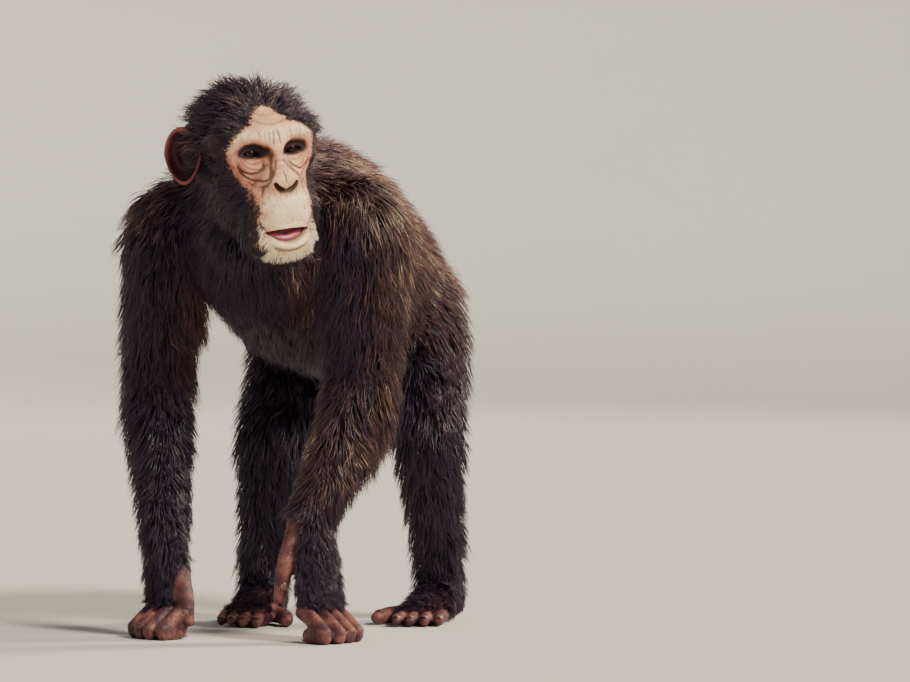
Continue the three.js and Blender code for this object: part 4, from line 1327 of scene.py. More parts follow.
@dataclass
class Chart:
    """What grows where: the region of each place on the skin, and the depth, length and lie of its coat."""

    points: Array
    normals: Array
    soften: float = 14.0  # how far apart two forms still share a place
    longest_on_head: float = 56.0
    hairline: float = 13.0  # the length of the hair where the bare face ends
    regions: Array = field(init=False)
    coat: Array = field(init=False)  # how deep it lies
    reach: Array = field(init=False)  # how long the tufts are
    cover: Array = field(init=False)  # how densely they grow, 1 for all over
    shag: Array = field(init=False)  # how far they stand out
    stiff: Array = field(init=False)  # how straight they leave the skin
    mess: Array = field(init=False)  # how far they swing and wave
    pale: Array = field(init=False)  # how white they are
    gold: Array = field(init=False)  # how often their tips are light: partly bleached, partly painted highlight
    lie: Array = field(init=False)
    is_head: Array = field(init=False)
    on_ears: Array = field(init=False)

    def __post_init__(self) -> None:
        """Blends the fields of every form that is near, then sees to the head, ears and digits."""
        heights, coats, lies, shares = [], [], [], []
        for form, way in self.forms():
            t, angle, height = form.nearest(self.points)
            along, side, deep = form.axes(t)
            ahead, round_ = way(t, angle)
            size = form.sizes(t)
            tangent = unit(
                side * (-np.sin(angle) * size[:, 0])[:, None] + deep * (np.cos(angle) * size[:, 1])[:, None]
            )
            lies.append(along * ahead[:, None] + tangent * round_[:, None])
            coats.append(size[:, 2])
            heights.append(height)
            shares.append(t)
        local = HEAD.to_head(self.points)
        gap = HEAD.distance(local)
        heights.append(gap - 3)
        coats.append(HEAD.coat_depth(local))
        lies.append(self.head_lie(local))
        heights, coats = np.array(heights), np.array(coats)
        weights = np.exp(-(heights - heights.min(0)) / self.soften)
        weights /= weights.sum(0)
        nearest = np.argmin(heights, axis=0)
        # The lower lip stands out of the head's smooth form
        self.is_head = (gap < 3) | ((gap < 9) & (local[:, 1] < -60))
        self.on_ears = (gap > 1.5) & np.any([Ear(HEAD, side).holds(local) for side in Side], axis=0)
        self.coat = np.where(self.is_head, coats[-1], (weights * coats).sum(0)) * ~self.on_ears
        lie = (weights[:, :, None] * np.array(lies)).sum(0) + [0, 0, -0.22]
        lie -= self.normals * dot(lie, self.normals)[:, None]
        self.lie = unit(lie)
        self.coat *= 1 - self.bareness(nearest)
        self.cover = ease(self.coat, 1.0, 4)
        self.shag = self.fringes(nearest)
        self.stiff = 0.4 * self.shag
        self.mess = np.where(self.is_head, 2.3, 1.15)
        self.reach = (3 + 2.5 * self.coat) * (1 + 0.3 * self.shag)
        self.pale = np.zeros(len(self.points))
        self.face_hair(local)
        self.regions = self.named_regions(local, nearest, shares)
        self.gold = self.golden(local)

    def face_hair(self, local: Array) -> None:
        """Sets the coat of the head: from the hairline back, with bristles on the chin, brows and muzzle.

        Args:
            local: the skin's places in the head's frame.
        """
        past = HEAD.past_face(local) + 4.5 * soft_noise(local, 9, 21) + 2 * soft_noise(local, 3, 22)
        z = local[:, 2]
        past += np.where(local[:, 0] > 0, 5, 9) * ease(-z, 64, 84) * (1 - ease(-z, 108, 122))
        from_mouth = np.abs(HEAD.mouth_gap(local)[0])
        lips = (from_mouth < 13) & (np.abs(local[:, 0]) < HEAD.mouth_half_width + 2) & (local[:, 1] < -60)
        grown = ease(past, -1.5, 1.5) * ~lips
        jaw = ease(-z, 68, 90) * ease(past, -10, -2)
        under = ease(-z, 112, 122)
        chin = np.clip(np.maximum(jaw, under), 0, 1)
        brow = bell((z - 44) / 7) * (np.abs(local[:, 0]) < 62) * (local[:, 1] < -40)
        muzzle = ease(-z, 32, 50)
        bristles = np.maximum(0.003 + 0.007 * muzzle, np.maximum(0.11 * jaw + 0.2 * under, 0.01 * brow))
        length = np.select([chin > 0.15, brow > 0.3], [6.5 + 6 * under, 6.0], 2.6)
        head = self.is_head
        shown = head & (local[:, 1] < -20) & ~lips
        long_hair = self.hairline + (self.longest_on_head - self.hairline) * ease(past, 2, 30)
        self.cover = np.where(head, np.maximum(grown, bristles * shown), self.cover)
        self.reach = np.where(head, np.where(grown > 0.3, long_hair, length), self.reach)
        far = np.where(local[:, 0] > 0, 9.0, 3.5)  # the white reaches further back on its left
        white = chin * (1 - ease(past / far, 0.2, 1.0)) * ease(-z, 60, 84)
        self.pale = np.where(shown, np.clip(1.2 * white, 0, 1), 0)
        x, y = np.abs(local[:, 0]), local[:, 1]
        temples = ease(x, 44, 58) * ease(y, -36, -16) * (1 - ease(y, 6, 16))
        temples = temples * ease(z, -50, -30) * (1 - ease(z, 34, 50))
        crown = ease(z, 34, 66) * grown
        self.shag = np.where(head, 1.2 * crown, self.shag)
        self.stiff = np.where(head, np.maximum(np.maximum(white, 0.85 * temples), 0.45 * crown), self.stiff)

    def bareness(self, nearest: Array) -> Array:
        """From 0 to 1 where a digit, palm or sole leaves the skin bare.

        Args:
            nearest: the number of each place's nearest form.

        Returns:
            A number from 0 to 1 for each place.
        """
        bare = np.zeros(len(self.points))
        for limb_ in [*ARMS, *LEGS]:
            *digits, apart = limb_.digits()
            for form, fade in [*((digit, 3.0) for digit in digits), (apart, 11.0)]:
                low, high = form.stations[:, :3].min(0) - 32, form.stations[:, :3].max(0) + 32
                near = np.all((self.points > low) & (self.points < high), axis=1)
                height = form.nearest(self.points[near], 40)[2]
                bare[near] = np.maximum(bare[near], 1 - ease(height, fade * 0.3, fade))
        for index, arm in enumerate(ARMS):
            hand = (nearest == 3 + index) & (self.points[:, 2] < arm.wrist[2])
            palm = 1 - ease(self.normals @ floor_way(arm.side, arm.points)[0], -0.55, 0.0)
            bare = np.maximum(bare, hand * palm)
        sole = (self.points[:, 2] < 60) * (1 - ease(self.normals[:, 2], -0.6, -0.1))
        return np.maximum(bare, sole)

    def fringes(self, nearest: Array) -> Array:
        """Where the coat stands out in a fringe: behind and outside the elbows and forearms.

        Args:
            nearest: the number of each place's nearest form.

        Returns:
            A number from 0 to 1 for each place.
        """
        made = np.zeros(len(self.points))
        for index, arm in enumerate(ARMS):
            outside = self.normals[:, 0] * arm.side.value * 0.6 + self.normals[:, 1] * 0.8
            band = bell((self.points[:, 2] - 315) / 85)
            made = np.maximum(made, (nearest == 3 + index) * band * ease(outside, -0.1, 0.7))
        return made

    def forms(self) -> list[tuple[Form, Lie]]:
        """The forms that the coat grows on.

        Returns:
            Each form with the lie of its coat, along it and round it.
        """

        def trunk(t: Array, angle: Array) -> tuple[Array, Array]:
            """Back along the trunk and down its sides."""
            return np.full(len(t), 0.9), 0.5 * np.cos(angle)

        def nape(t: Array, angle: Array) -> tuple[Array, Array]:
            """Down the nape, against the neck's path."""
            return np.full(len(t), -1.0), 0.0 * t

        def yoke(t: Array, angle: Array) -> tuple[Array, Array]:
            """Out over the shoulders and down."""
            return np.tanh((t - 0.5) * 5), -0.7 * np.cos(angle) - 0.5 * np.sin(angle)

        def arm(sign: int) -> Lie:
            """The lie of an arm's coat, whose side has this sign."""

            def way(t: Array, angle: Array) -> tuple[Array, Array]:
                """Down the arm, and swept back and outward past the elbow."""
                past = ease(t, 0.42, 0.56) * (1 - ease(t, 0.76, 0.86))
                swept = -0.75 * np.cos(angle) - 0.4 * sign * np.sin(angle)
                return 1 - 0.3 * past, past * swept + (1 - past) * -0.18 * np.cos(angle)

            return way

        def leg(t: Array, angle: Array) -> tuple[Array, Array]:
            """Down the leg."""
            return np.full(len(t), 1.0), -0.12 * np.cos(angle)

        made = [(TRUNK.form, trunk), (TRUNK.neck, nape), (TRUNK.yoke, yoke)]
        made += [(one.form, arm(one.side.value)) for one in ARMS]
        made += [(one.form, leg) for one in LEGS]
        made += [(one.sole, leg) for one in LEGS]
        return made

    @staticmethod
    def head_lie(local: Array) -> Array:
        """The lie of the head's coat: away from the face, back over the crown and down the cheeks.

        Args:
            local: places of the head's frame.

        Returns:
            A direction for each in the animal's frame, of any length.
        """
        x, _, z = local.T
        rise = (z - 30) / np.where(z > 30, 130, 75)
        way = np.column_stack([x / 32, np.full(len(x), 0.75), rise])
        way[:, 0] += 0.9 * soft_noise(local, 26, 23)
        way[:, 2] += 0.4 * soft_noise(local, 26, 24)
        return way @ HEAD.axes.T

    def named_regions(self, local: Array, nearest: Array, shares: Sequence[Array]) -> Array:
        """The region of each place, from its nearest form and its share of the form's path.

        Args:
            local: the skin's places in the head's frame.
            nearest: the number of each place's nearest form.
            shares: the places' shares of each form's path.

        Returns:
            The number of each place's region.
        """
        number = {region.value: index for index, region in enumerate(Region)}
        count = len(nearest)
        head = np.where(local[:, 1] < -8, number["head_front"], number["head_back"])
        bands = [shares[0] < 0.27, shares[0] < 0.52]
        trunk = np.select(bands, [number["shoulders"], number["back"]], number["rump"])
        neck = np.full(count, number["shoulders"])
        arms = []
        for index, arm in enumerate(ARMS):
            upper, lower = (number[f"{part}_{arm.side.word}"] for part in ("upper_arm", "forearm"))
            arms.append(np.where(shares[3 + index] < 0.47, upper, lower))
        legs = [np.full(count, number[f"leg_{leg.side.word}"]) for leg in LEGS]
        made = np.choose(nearest, [trunk, neck, neck, *arms, *legs, *legs, head])
        return np.where(self.is_head, head, made)

    def golden(self, local: Array) -> Array:
        """How many tips are light, partly with painted highlight: on the top, back, left side, elbows and
        left of the face.

        Args:
            local: the skin's places in the head's frame.

        Returns:
            Their share for each place.
        """
        left, back, up = self.normals.T
        x, y, z = self.points.T
        # Painted highlight where the lamps fall on the top, left side and back, with some bleaching, and on
        # the elbows
        made = 0.4 * ease(up, 0.0, 0.9) * ease(z, 450, 600)
        made += 0.44 * ease(left, 0.0, 0.85) * ease(z, 260, 520)
        made += 0.44 * bell((z - 285) / 115) * (y < -60) * ease(x, -60, 60)
        made += 0.3 * ease(back, 0.2, 0.9) * ease(z, 120, 400)
        on_head = 0.2 + 0.2 * ease(local[:, 0], 0, 80) * ease(-local[:, 2], -60, 60)
        return np.clip(np.where(self.is_head, on_head, made) + 0.05, 0, 0.85)


# Coat


@dataclass
class Coat:
    """The coat, as thin tapered tufts that follow its lie."""

    skin: Skin
    chart: Chart
    seed: int = 11
    layers: float = 9.0  # how many tufts lie over each place
    most: int = 12300  # tufts in one piece
    fewer: dict[Region, int] = field(
        default_factory=lambda: {
            Region.RUMP: 8500,
            Region.UPPER_ARM_LEFT: 11000,
            Region.UPPER_ARM_RIGHT: 7000,
            Region.FOREARM_LEFT: 8500,
            Region.FOREARM_RIGHT: 6000,
            Region.LEG_LEFT: 9800,
            Region.LEG_RIGHT: 9600,
        }
    )
    rings: Row = (0, 0.33, 0.68)  # where along a tuft its rings are
    profile: Row = (0.75, 1.0, 0.72)  # and how wide it is there
    wild: float = 0.07  # the share of tufts that stray from the rest
    clump: int = 13  # how many tufts draw together
    clump_reach: float = 22
    patch: float = 0.003  # the size of a tuft's patch on the unwrap

    def __post_init__(self) -> None:
        """Sets up the seeded draws and the search for the nearest skin."""
        self.draw = np.random.default_rng(self.seed)
        self.tree = KDTree(len(self.skin.points))
        for index, at in enumerate(self.skin.points):
            self.tree.insert(at, index)
        self.tree.balance()

    def near_skin(self, points: Array) -> Array:
        """The nearest skin vertex of each place."""
        find = self.tree.find
        return np.fromiter((find(at)[1] for at in points), int, len(points))

    @staticmethod
    def width(length: Array) -> Array:
        """A tuft's width for its length."""
        return np.minimum(0.22 + 0.028 * length, 1.75)

    def roots(self) -> dict[Region, tuple[Array, Array]]:
        """For each region, the triangles that its tufts grow on and their places in them.

        Returns:
            For each region the corners of its tufts' triangles, and each tuft's shares of them.
        """
        mesh = self.skin.piece.data
        mesh.calc_loop_triangles()
        corners = np.empty(len(mesh.loop_triangles) * 3, np.int32)
        mesh.loop_triangles.foreach_get("vertices", corners)
        corners = corners.reshape(-1, 3)
        at = self.skin.points[corners]
        area = np.linalg.norm(np.cross(at[:, 1] - at[:, 0], at[:, 2] - at[:, 0]), axis=1) / 2
        length = self.chart.reach[corners].mean(1)
        count = area * self.layers / (length * self.width(length)) * self.chart.cover[corners].mean(1)
        region = self.chart.regions[corners[:, 0]]
        made = {}
        for number, name in enumerate(Region):
            weight = np.where(region == number, count, 0)
            wanted = int(min(weight.sum(), self.fewer.get(name, self.most)))
            LOG.info("coat of %s: %d of %d tufts", name.value, wanted, int(weight.sum()))
            chosen = self.draw.choice(len(weight), wanted, p=weight / weight.sum())
            a, b = self.draw.random((2, wanted))
            flip = a + b > 1
            a, b = np.where(flip, 1 - a, a), np.where(flip, 1 - b, b)
            made[name] = (corners[chosen], np.column_stack([1 - a - b, a, b]))
        return made

    def paths(self, corners: Array, shares: Array) -> dict[str, Array]:
        """The course of each tuft over the skin.

        Args:
            corners: the vertices of the triangle that each tuft grows on.
            shares: its place between them.

        Returns:
            The places and skin normals along each tuft, with its width, how light its tip is, partly painted
            highlight, and how pale it is.
        """

        def mixed(values: Array) -> Array:
            """Numbers of the skin's vertices, mixed at each root."""
            weights = shares[..., None] if values.ndim > 1 else shares
            return (values[corners] * weights).sum(1)

        root = mixed(self.skin.points)
        normal = unit(mixed(self.skin.normals))
        lie = unit(mixed(self.chart.lie))
        coat = mixed(self.chart.coat)
        count = len(root)
        draw = self.draw
        uneven = 1 + 0.12 * soft_noise(root, 60, 8) + 0.1 * soft_noise(root, 14, 13)
        length = mixed(self.chart.reach) * uneven * draw.uniform(0.7, 1.15, count)
        shag = mixed(self.chart.shag)
        rise = coat * (0.35 + 0.75 * draw.random(count) ** 0.8) * (1 + 0.7 * shag)
        rise = rise + 0.12 * np.minimum(length, 16)
        wild = draw.random(count) < self.wild
        rise = np.where(wild, coat * draw.uniform(0.8, 1.2, count) + 2, rise)
        mess = mixed(self.chart.mess)
        swing = mess * draw.normal(0, 0.17, count) + 0.4 * soft_noise(root, 22, 9)
        swing = swing + wild * draw.normal(0, 0.5, count)
        way = unit(lie * np.cos(swing)[:, None] + np.cross(normal, lie) * np.sin(swing)[:, None])
        steps = [*self.rings, 1.0]
        straight = unit(way + 0.85 * normal) * length[:, None]
        places, normals = [root - normal * 1.5], [normal]
        at = root
        for before, share in zip(steps, steps[1:]):
            at = at + way * (length * (share - before))[:, None]
            spot = self.near_skin(at)
            n = self.skin.normals[spot]
            over = dot(at - self.skin.points[spot], n)
            high = rise * share**1.15
            at = at + n * (high - over)[:, None]
            lie_here = self.chart.lie[spot]
            way = unit(way * 0.7 + lie_here * 0.3)
            way = unit(way - n * dot(way, n)[:, None])
            places.append(at)
            normals.append(n)
        places, normals = np.stack(places, 1), np.stack(normals, 1)
        ahead = root[:, None] + straight[:, None] * np.array(steps)[None, :, None]
        places += (ahead - places) * mixed(self.chart.stiff)[:, None, None]
        places = self.clumped(root, places, np.array(steps), ease(mixed(self.chart.cover), 0.3, 0.8))
        aside = np.cross(normals[:, 0], way)
        phase = 4 * soft_noise(root, 11, 14) + draw.normal(0, 0.5, count)
        for index, share in enumerate(steps):
            sway = 0.07 * mess * length * share * np.sin(5.2 * share + phase)
            places[:, index] += aside * sway[:, None]
        places[:, :, 2] = np.maximum(places[:, :, 2], 1.2)
        width = self.width(length) * draw.uniform(0.7, 1.25, count) * np.where(wild, 0.55, 1)
        return {
            "places": places,
            "normals": normals,
            "width": width,
            "gold": self.bleached(root, mixed(self.chart.gold)),
            "pale": (mixed(self.chart.pale) > draw.uniform(0.05, 0.75, count)).astype(float),
        }

    def bleached(self, root: Array, share: Array) -> Array:
        """How light each tuft's tip is, from 0 to 1, partly bleached and partly painted highlight on a share
        of them.
        """
        lot = 0.45 * (0.5 + 0.5 * soft_noise(root, 9, 15)) + 0.55 * self.draw.random(len(root))
        return ease(share * 1.15 - lot, -0.22, 0.22) * self.draw.uniform(0.5, 1.0, len(root))

    def clumped(self, root: Array, places: Array, steps: Array, amount: Array) -> Array:
        """Draws the tufts of each clump together towards their tips.

        Args:
            root: the tufts' roots.
            places: the places along each tuft.
            steps: how far along it they are.
            amount: how far each tuft is drawn.

        Returns:
            The moved places.
        """
        centres = self.draw.choice(len(root), max(len(root) // self.clump, 1), replace=False)
        tree = KDTree(len(centres))
        for index, centre in enumerate(centres):
            tree.insert(root[centre], index)
        tree.balance()
        nearest = centres[np.fromiter((tree.find(at)[1] for at in root), int, len(root))]
        apart = np.linalg.norm(root[nearest] - root, axis=1)
        pull = self.draw.uniform(0.25, 0.8, len(root)) * (apart < self.clump_reach) * amount
        share = pull[:, None] * steps[None] ** 1.4
        return places + (places[nearest] - places) * share[:, :, None]

    def pattern(self) -> tuple[Array, Array, Array]:
        """The faces that all tufts have: a root, three sides from ring to ring, and a point.

        Returns:
            Their corners in a row, how many each has, and the corners' places on a tuft's patch.
        """
        tip = len(self.rings) * 3
        faces = [[0, 1, 2]]
        patches = [[(0, 0), (0.3, 0), (0.15, 0.05)]]
        heights = [0.08 + 0.92 * s for s in (*self.rings, 1.0)]
        for ring, (low, high) in enumerate(zip(heights, heights[1:])):
            for k in range(3):
                a, b = 3 * ring + k, 3 * ring + (k + 1) % 3
                u, v = k / 3, (k + 1) / 3
                if ring < len(self.rings) - 1:
                    faces.append([b, a, a + 3, b + 3])
                    patches.append([(v, low), (u, low), (u, high), (v, high)])
                else:
                    faces.append([b, a, tip])
                    patches.append([(v, low), (u, low), ((u + v) / 2, high)])
        sizes = np.array([len(face) for face in faces])
        return np.array(sum(faces, [])), sizes, np.array(sum(patches, []))

    def piece(self, region: Region, corners: Array, shares: Array, finish: Material) -> Piece:
        """One region's tufts as a closed mesh each.

        Args:
            region: where they grow.
            corners: the vertices of the triangle that each grows on.
            shares: its place between them.
            finish: the coat's material.

        Returns:
            The new object.
        """
        made = self.paths(corners, shares)
        places, normals, width = made["places"], made["normals"], made["width"]
        count, rings = len(places), len(self.rings)
        along = np.empty_like(places)
        along[:, 1:-1] = places[:, 2:] - places[:, :-2]
        along[:, 0], along[:, -1] = places[:, 1] - places[:, 0], places[:, -1] - places[:, -2]
        across = unit(np.cross(unit(along), normals))
        twist = self.draw.uniform(-0.7, 0.7, count)[:, None, None]
        across = unit(across + normals * twist)
        lift = unit(np.cross(across, unit(along)))
        half = (width[:, None] * np.array(self.profile)[None] / 2)[..., None]
        ring = places[:, :rings]
        low, high = lift[:, :rings] * half * -0.3, lift[:, :rings] * half * 0.6
        side = across[:, :rings] * half
        vertices = np.stack([ring - side + low, ring + side + low, ring + high], 2)
        vertices = np.concatenate([vertices.reshape(count, rings * 3, 3), places[:, -1:]], 1)
        order, sizes, flat_patch = self.pattern()
        per = rings * 3 + 1
        loops = (order[None] + np.arange(count)[:, None] * per).ravel()
        totals = np.tile(sizes, count)
        mesh = bpy.data.meshes.new(f"coat_{region.value}")
        mesh.vertices.add(count * per)
        mesh.loops.add(len(loops))
        mesh.polygons.add(len(totals))
        mesh.vertices.foreach_set("co", to_scene(vertices.reshape(-1, 3)).astype(np.float32).ravel())
        mesh.loops.foreach_set("vertex_index", loops.astype(np.int32))
        starts = np.concatenate([[0], np.cumsum(totals)[:-1]])
        mesh.polygons.foreach_set("loop_start", starts.astype(np.int32))
        mesh.polygons.foreach_set("use_smooth", np.ones(len(totals), bool))
        mesh.update(calc_edges=True)
        mesh.validate()
        layer = mesh.uv_layers.new(name="OFBake")
        spots = self.unwrapped(region, places[:, 0])
        uv = spots[:, None] + flat_patch[None] * self.patch
        layer.data.foreach_set("uv", uv.astype(np.float32).ravel())
        up = np.append(np.repeat(self.rings, 3), 1.0)
        write_colour(
            mesh,
            "hair",
            np.tile(up, count),
            np.repeat(made["gold"], per),
            np.repeat(self.draw.random(count), per),
            np.repeat(made["pale"], per),
        )
        piece = bpy.data.objects.new(f"coat_{region.value}", mesh)
        bpy.context.scene.collection.objects.link(piece)
        finish_piece(piece, finish)
        return piece

    def unwrapped(self, region: Region, points: Array) -> Array:
        """A place on the unwrapped skin for each root, from 0 to 1 both ways.

        Args:
            region: where the tufts grow.
            points: their roots.

        Returns:
            One row of u and v for each.
        """
        if region in (Region.HEAD_FRONT, Region.HEAD_BACK):
            way = unit(HEAD.to_head(points) - np.array(HEAD.centre))
            angle, v = np.arctan2(way[:, 0], way[:, 1]), np.arccos(np.clip(way[:, 2], -1, 1)) / math.pi
        else:
            limbs = {f"{part}_{arm.side.word}": arm for arm in ARMS for part in ("upper_arm", "forearm")}
            limbs |= {f"leg_{leg.side.word}": leg for leg in LEGS}
            v, angle, _ = limbs.get(region.value, TRUNK).form.nearest(points, 160)
        u = angle / (2 * math.pi) + 0.5
        v = (v - v.min()) / max(np.ptp(v), 1e-6)
        jitter = self.draw.uniform(-0.002, 0.002, (len(u), 2))
        return np.clip(np.column_stack([u, v]) * 0.99 + jitter, 0.001, 0.996)

    def build(self) -> list[Piece]:
        """Every region's piece of the coat."""
        finish = CoatFinish().material()
        return [self.piece(region, *grown, finish) for region, grown in self.roots().items()]


@dataclass
class Eyes:
    """The eyeballs, with their corneas and irises."""

    gaze: Row = (0.12, -1, -0.05)
    iris: float = 0.62  # half-angle, in radians
    cornea: float = 0.9  # how far the cornea stands out, in millimetres

    def build(self, side: Side) -> Piece:
        """One eyeball, its pole on the line of sight.

        Args:
            side: which eye.

        Returns:
            The new object.
        """
        middle = HEAD.eye_at(side)
        ahead = unit(np.array(self.gaze, float))
        across = unit(np.cross(ahead, [0, 0, 1]))
        up = np.cross(across, ahead)

        def place(share: Array, angle: Array) -> Array:
            """Places of the eyeball, with its cornea."""
            tilt = share * math.pi
            radius = HEAD.eye_radius + self.cornea * (1 - ease(tilt, self.iris * 0.5, self.iris * 1.1))
            round_ = across * np.cos(angle)[:, None] + up * np.sin(angle)[:, None]
            way = ahead * np.cos(tilt)[:, None] + round_ * np.sin(tilt)[:, None]
            return HEAD.to_body(middle + way * radius[:, None])

        eye = shaped_ball(f"eyeball_{side.word}", 40, 48, place)
        away = unit(HEAD.to_head(from_scene(read_points(eye.data))) - middle)
        tilt = np.arccos(np.clip(away @ ahead, -1, 1))
        turned = np.arctan2(away @ up, away @ across) / (2 * math.pi) + 0.5
        write_colour(eye.data, "iris", np.clip(tilt / self.iris / 2, 0, 1), turned, 0.0)
        finish_piece(eye, EyeFinish().material())
        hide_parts(f"eye_{side.word}")
        return eye


@dataclass
class Tongue:
    """The tongue behind the parted lips."""

    size: Row = (28, 18, 8.5)
    at: Row = (0, -110, -98)

    def build(self) -> Piece:
        """The tongue, a flattened ball with a groove along its middle.

        Returns:
            The new object.
        """

        def place(share: Array, angle: Array) -> Array:
            """Places of the tongue."""
            tilt = share * math.pi
            way = np.column_stack([np.sin(tilt) * np.cos(angle), np.sin(tilt) * np.sin(angle), np.cos(tilt)])
            made = way * np.array(self.size) + np.array(self.at)
            groove = 1.3 * bell(way[:, 0] / 0.16) * (way[:, 2] > 0)
            made[:, 2] += 7 * way[:, 0] ** 2 - groove + 0.35 * soft_noise(made, 4, 12)
            return HEAD.to_body(made)

        tongue = shaped_ball("tongue_flesh", 48, 32, place)
        finish_piece(tongue, TongueFinish().material())
        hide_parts("tongue")
        return tongue


@dataclass
class Nails:
    """The nails of fingers and toes, as one piece."""

    thick: float = 1.1
    share: float = 0.8  # how much of the digit's width a nail covers
    end: float = 0.86  # the share of the digit's path where it lies
    ahead: float = 2.5  # how far on from there
    proud: float = 0.5
    bow: float = 0.02

    def nail(self, form: Form, up: Array, length: float) -> Piece:
        """A curved plate on the back of a digit's end.

        Args:
            form: the digit's end.
            up: the way that the nail faces.
            length: its length.

        Returns:
            The new object.
        """
        tip = form.path(np.array([1.0]))[0]
        at = form.path(np.array([self.end]))[0]
        along = unit(tip - at)
        up = unit(up - along * (up @ along))
        across = np.cross(along, up)
        size = form.sizes(np.array([self.end]))[0]

        def place(share: Array, angle: Array) -> Array:
            """Places of the plate."""
            tilt = share * math.pi
            x = np.sin(tilt) * np.cos(angle)
            y = np.sin(tilt) * np.sin(angle)
            side = np.sign(x) * np.abs(x) ** 0.7 * self.share * size[0]
            forth = np.sign(y) * np.abs(y) ** 0.7 * length / 2
            top = np.sqrt(np.maximum(1 - (side / size[0]) ** 2, 0.05)) * size[1]
            high = top + self.proud + np.cos(tilt) * self.thick / 2 - self.bow * forth**2
            middle = at + along * self.ahead
            return middle + across * side[:, None] + along * forth[:, None] + up * high[:, None]

        return shaped_ball("nail", 20, 10, place)

    def build(self) -> Piece:
        """Every nail, joined.

        Returns:
            The new object.
        """
        made = []
        for arm in ARMS:
            *fingers, thumb = arm.digits()
            ahead = floor_way(arm.side, arm.points)[0]
            made += [self.nail(form, np.array([0.0, 0, -1]), 11) for form in fingers[1::2]]
            made.append(self.nail(thumb, ahead + [0, 0, 0.2], 12))
        for leg in LEGS:
            made += [self.nail(form, np.array([0.0, 0, 1]), 8) for form in leg.digits()]
        only(*made)
        bpy.ops.object.join()
        nails = bpy.context.active_object
        nails.name = "nails"
        points = from_scene(read_points(nails.data))
        points[:, 2] = np.maximum(points[:, 2], 0.2)
        write_points(nails.data, to_scene(points))
        finish_piece(nails, NailFinish().material())
        return nails


# Finishes


class Shades:
    """Builds the nodes of one material around its main shader."""

    def __init__(self, name: str, roughness: float, **settings: float) -> None:
        """Starts a material with the numbers that are the same all over it.

        Args:
            name: the material's name.
            roughness: how rough it is.
            settings: other numbers of its shader by name.
        """
        self.material = bpy.data.materials.new(name)
        self.material.use_nodes = True
        self.tree = self.material.node_tree
        self.shader = self.tree.nodes["Principled BSDF"]
        self.shader.inputs["Roughness"].default_value = roughness
        for key, value in settings.items():
            self.shader.inputs[key.replace("_", " ").title().replace("Ior", "IOR")].default_value = value

    def node(
        self, kind: str, outlet: int | str = 0, inputs: dict | None = None, **settings: object
    ) -> object:
        """Adds a node and gives back one of its outlets.

        Args:
            kind: what it is.
            outlet: which outlet.
            inputs: what its sockets are fed with.
            settings: its choices by name.

        Returns:
            The outlet.
        """
        made = self.tree.nodes.new(f"ShaderNode{kind}")
        for key, value in settings.items():
            setattr(made, key, value)
        for key, value in (inputs or {}).items():
            self.feed(made.inputs[key], value)
        return made.outputs[outlet]

    def feed(self, socket: object, value: object) -> None:
        """Links an outlet to a socket, or sets the socket's own value.

        Args:
            socket: what is fed.
            value: the outlet or value.
        """
        if isinstance(value, bpy.types.NodeSocket):
            self.tree.links.new(value, socket)
        elif isinstance(value, tuple) and socket.type == "RGBA":
            socket.default_value = (*value, 1)
        else:
            socket.default_value = value

    def places(self) -> object:
        """The piece's own coordinates."""
        return self.node("TexCoord", "Object")

    def noise(self, scale: float, detail: float = 3, **inputs: float) -> object:
        """Noise over the piece's own coordinates, from 0 to 1."""
        given = {"Vector": self.places(), "Scale": scale, "Detail": detail, **inputs}
        return self.node("TexNoise", "Fac", given)

    def mix(self, share: object, one: object, other: object, way: str = "MIX") -> object:
        """A mix of two colours, from all of one at a share of 0 to all of the other at 1."""
        return self.node("Mix", 2, {0: share, 6: one, 7: other}, data_type="RGBA", blend_type=way)

    def maths(self, way: str, one: object, other: object = 0.5, third: object = 0.5) -> object:
        """A sum of two or three numbers, kept from 0 to 1."""
        return self.node("Math", 0, {0: one, 1: other, 2: third}, operation=way, use_clamp=True)

    def between(self, value: object, low: float, high: float) -> object:
        """From 0 at low to 1 at high, kept inside."""
        given = {"Value": value, "From Min": low, "From Max": high}
        return self.node("MapRange", 0, given, interpolation_type="SMOOTHSTEP")

    def parts(self, name: str) -> tuple[object, object, object, object]:
        """The four numbers kept for each vertex under a name."""
        kept = self.node("Attribute", "Color", attribute_name=name)
        return (*self.node("SeparateColor", 0, {0: kept}).node.outputs[:3], kept.node.outputs["Alpha"])

    def bump(self, height: object, strength: float, distance: float, under: object = None) -> object:
        """Relief from a height, that at 1 is as high as the distance in metres, over any relief under it."""
        given = {"Height": height, "Strength": strength, "Distance": distance}
        return self.node("Bump", 0, given if under is None else given | {"Normal": under})

    def done(self, colour: object, normal: object = None, roughness: object = None) -> Material:
        """Joins the colour, relief and roughness to the shader.

        Args:
            colour: the colour.
            normal: the relief.
            roughness: how rough it is from place to place.

        Returns:
            The finished material.
        """
        for key, value in {"Base Color": colour, "Normal": normal, "Roughness": roughness}.items():
            if value is not None:
                self.feed(self.shader.inputs[key], value)
        return self.material


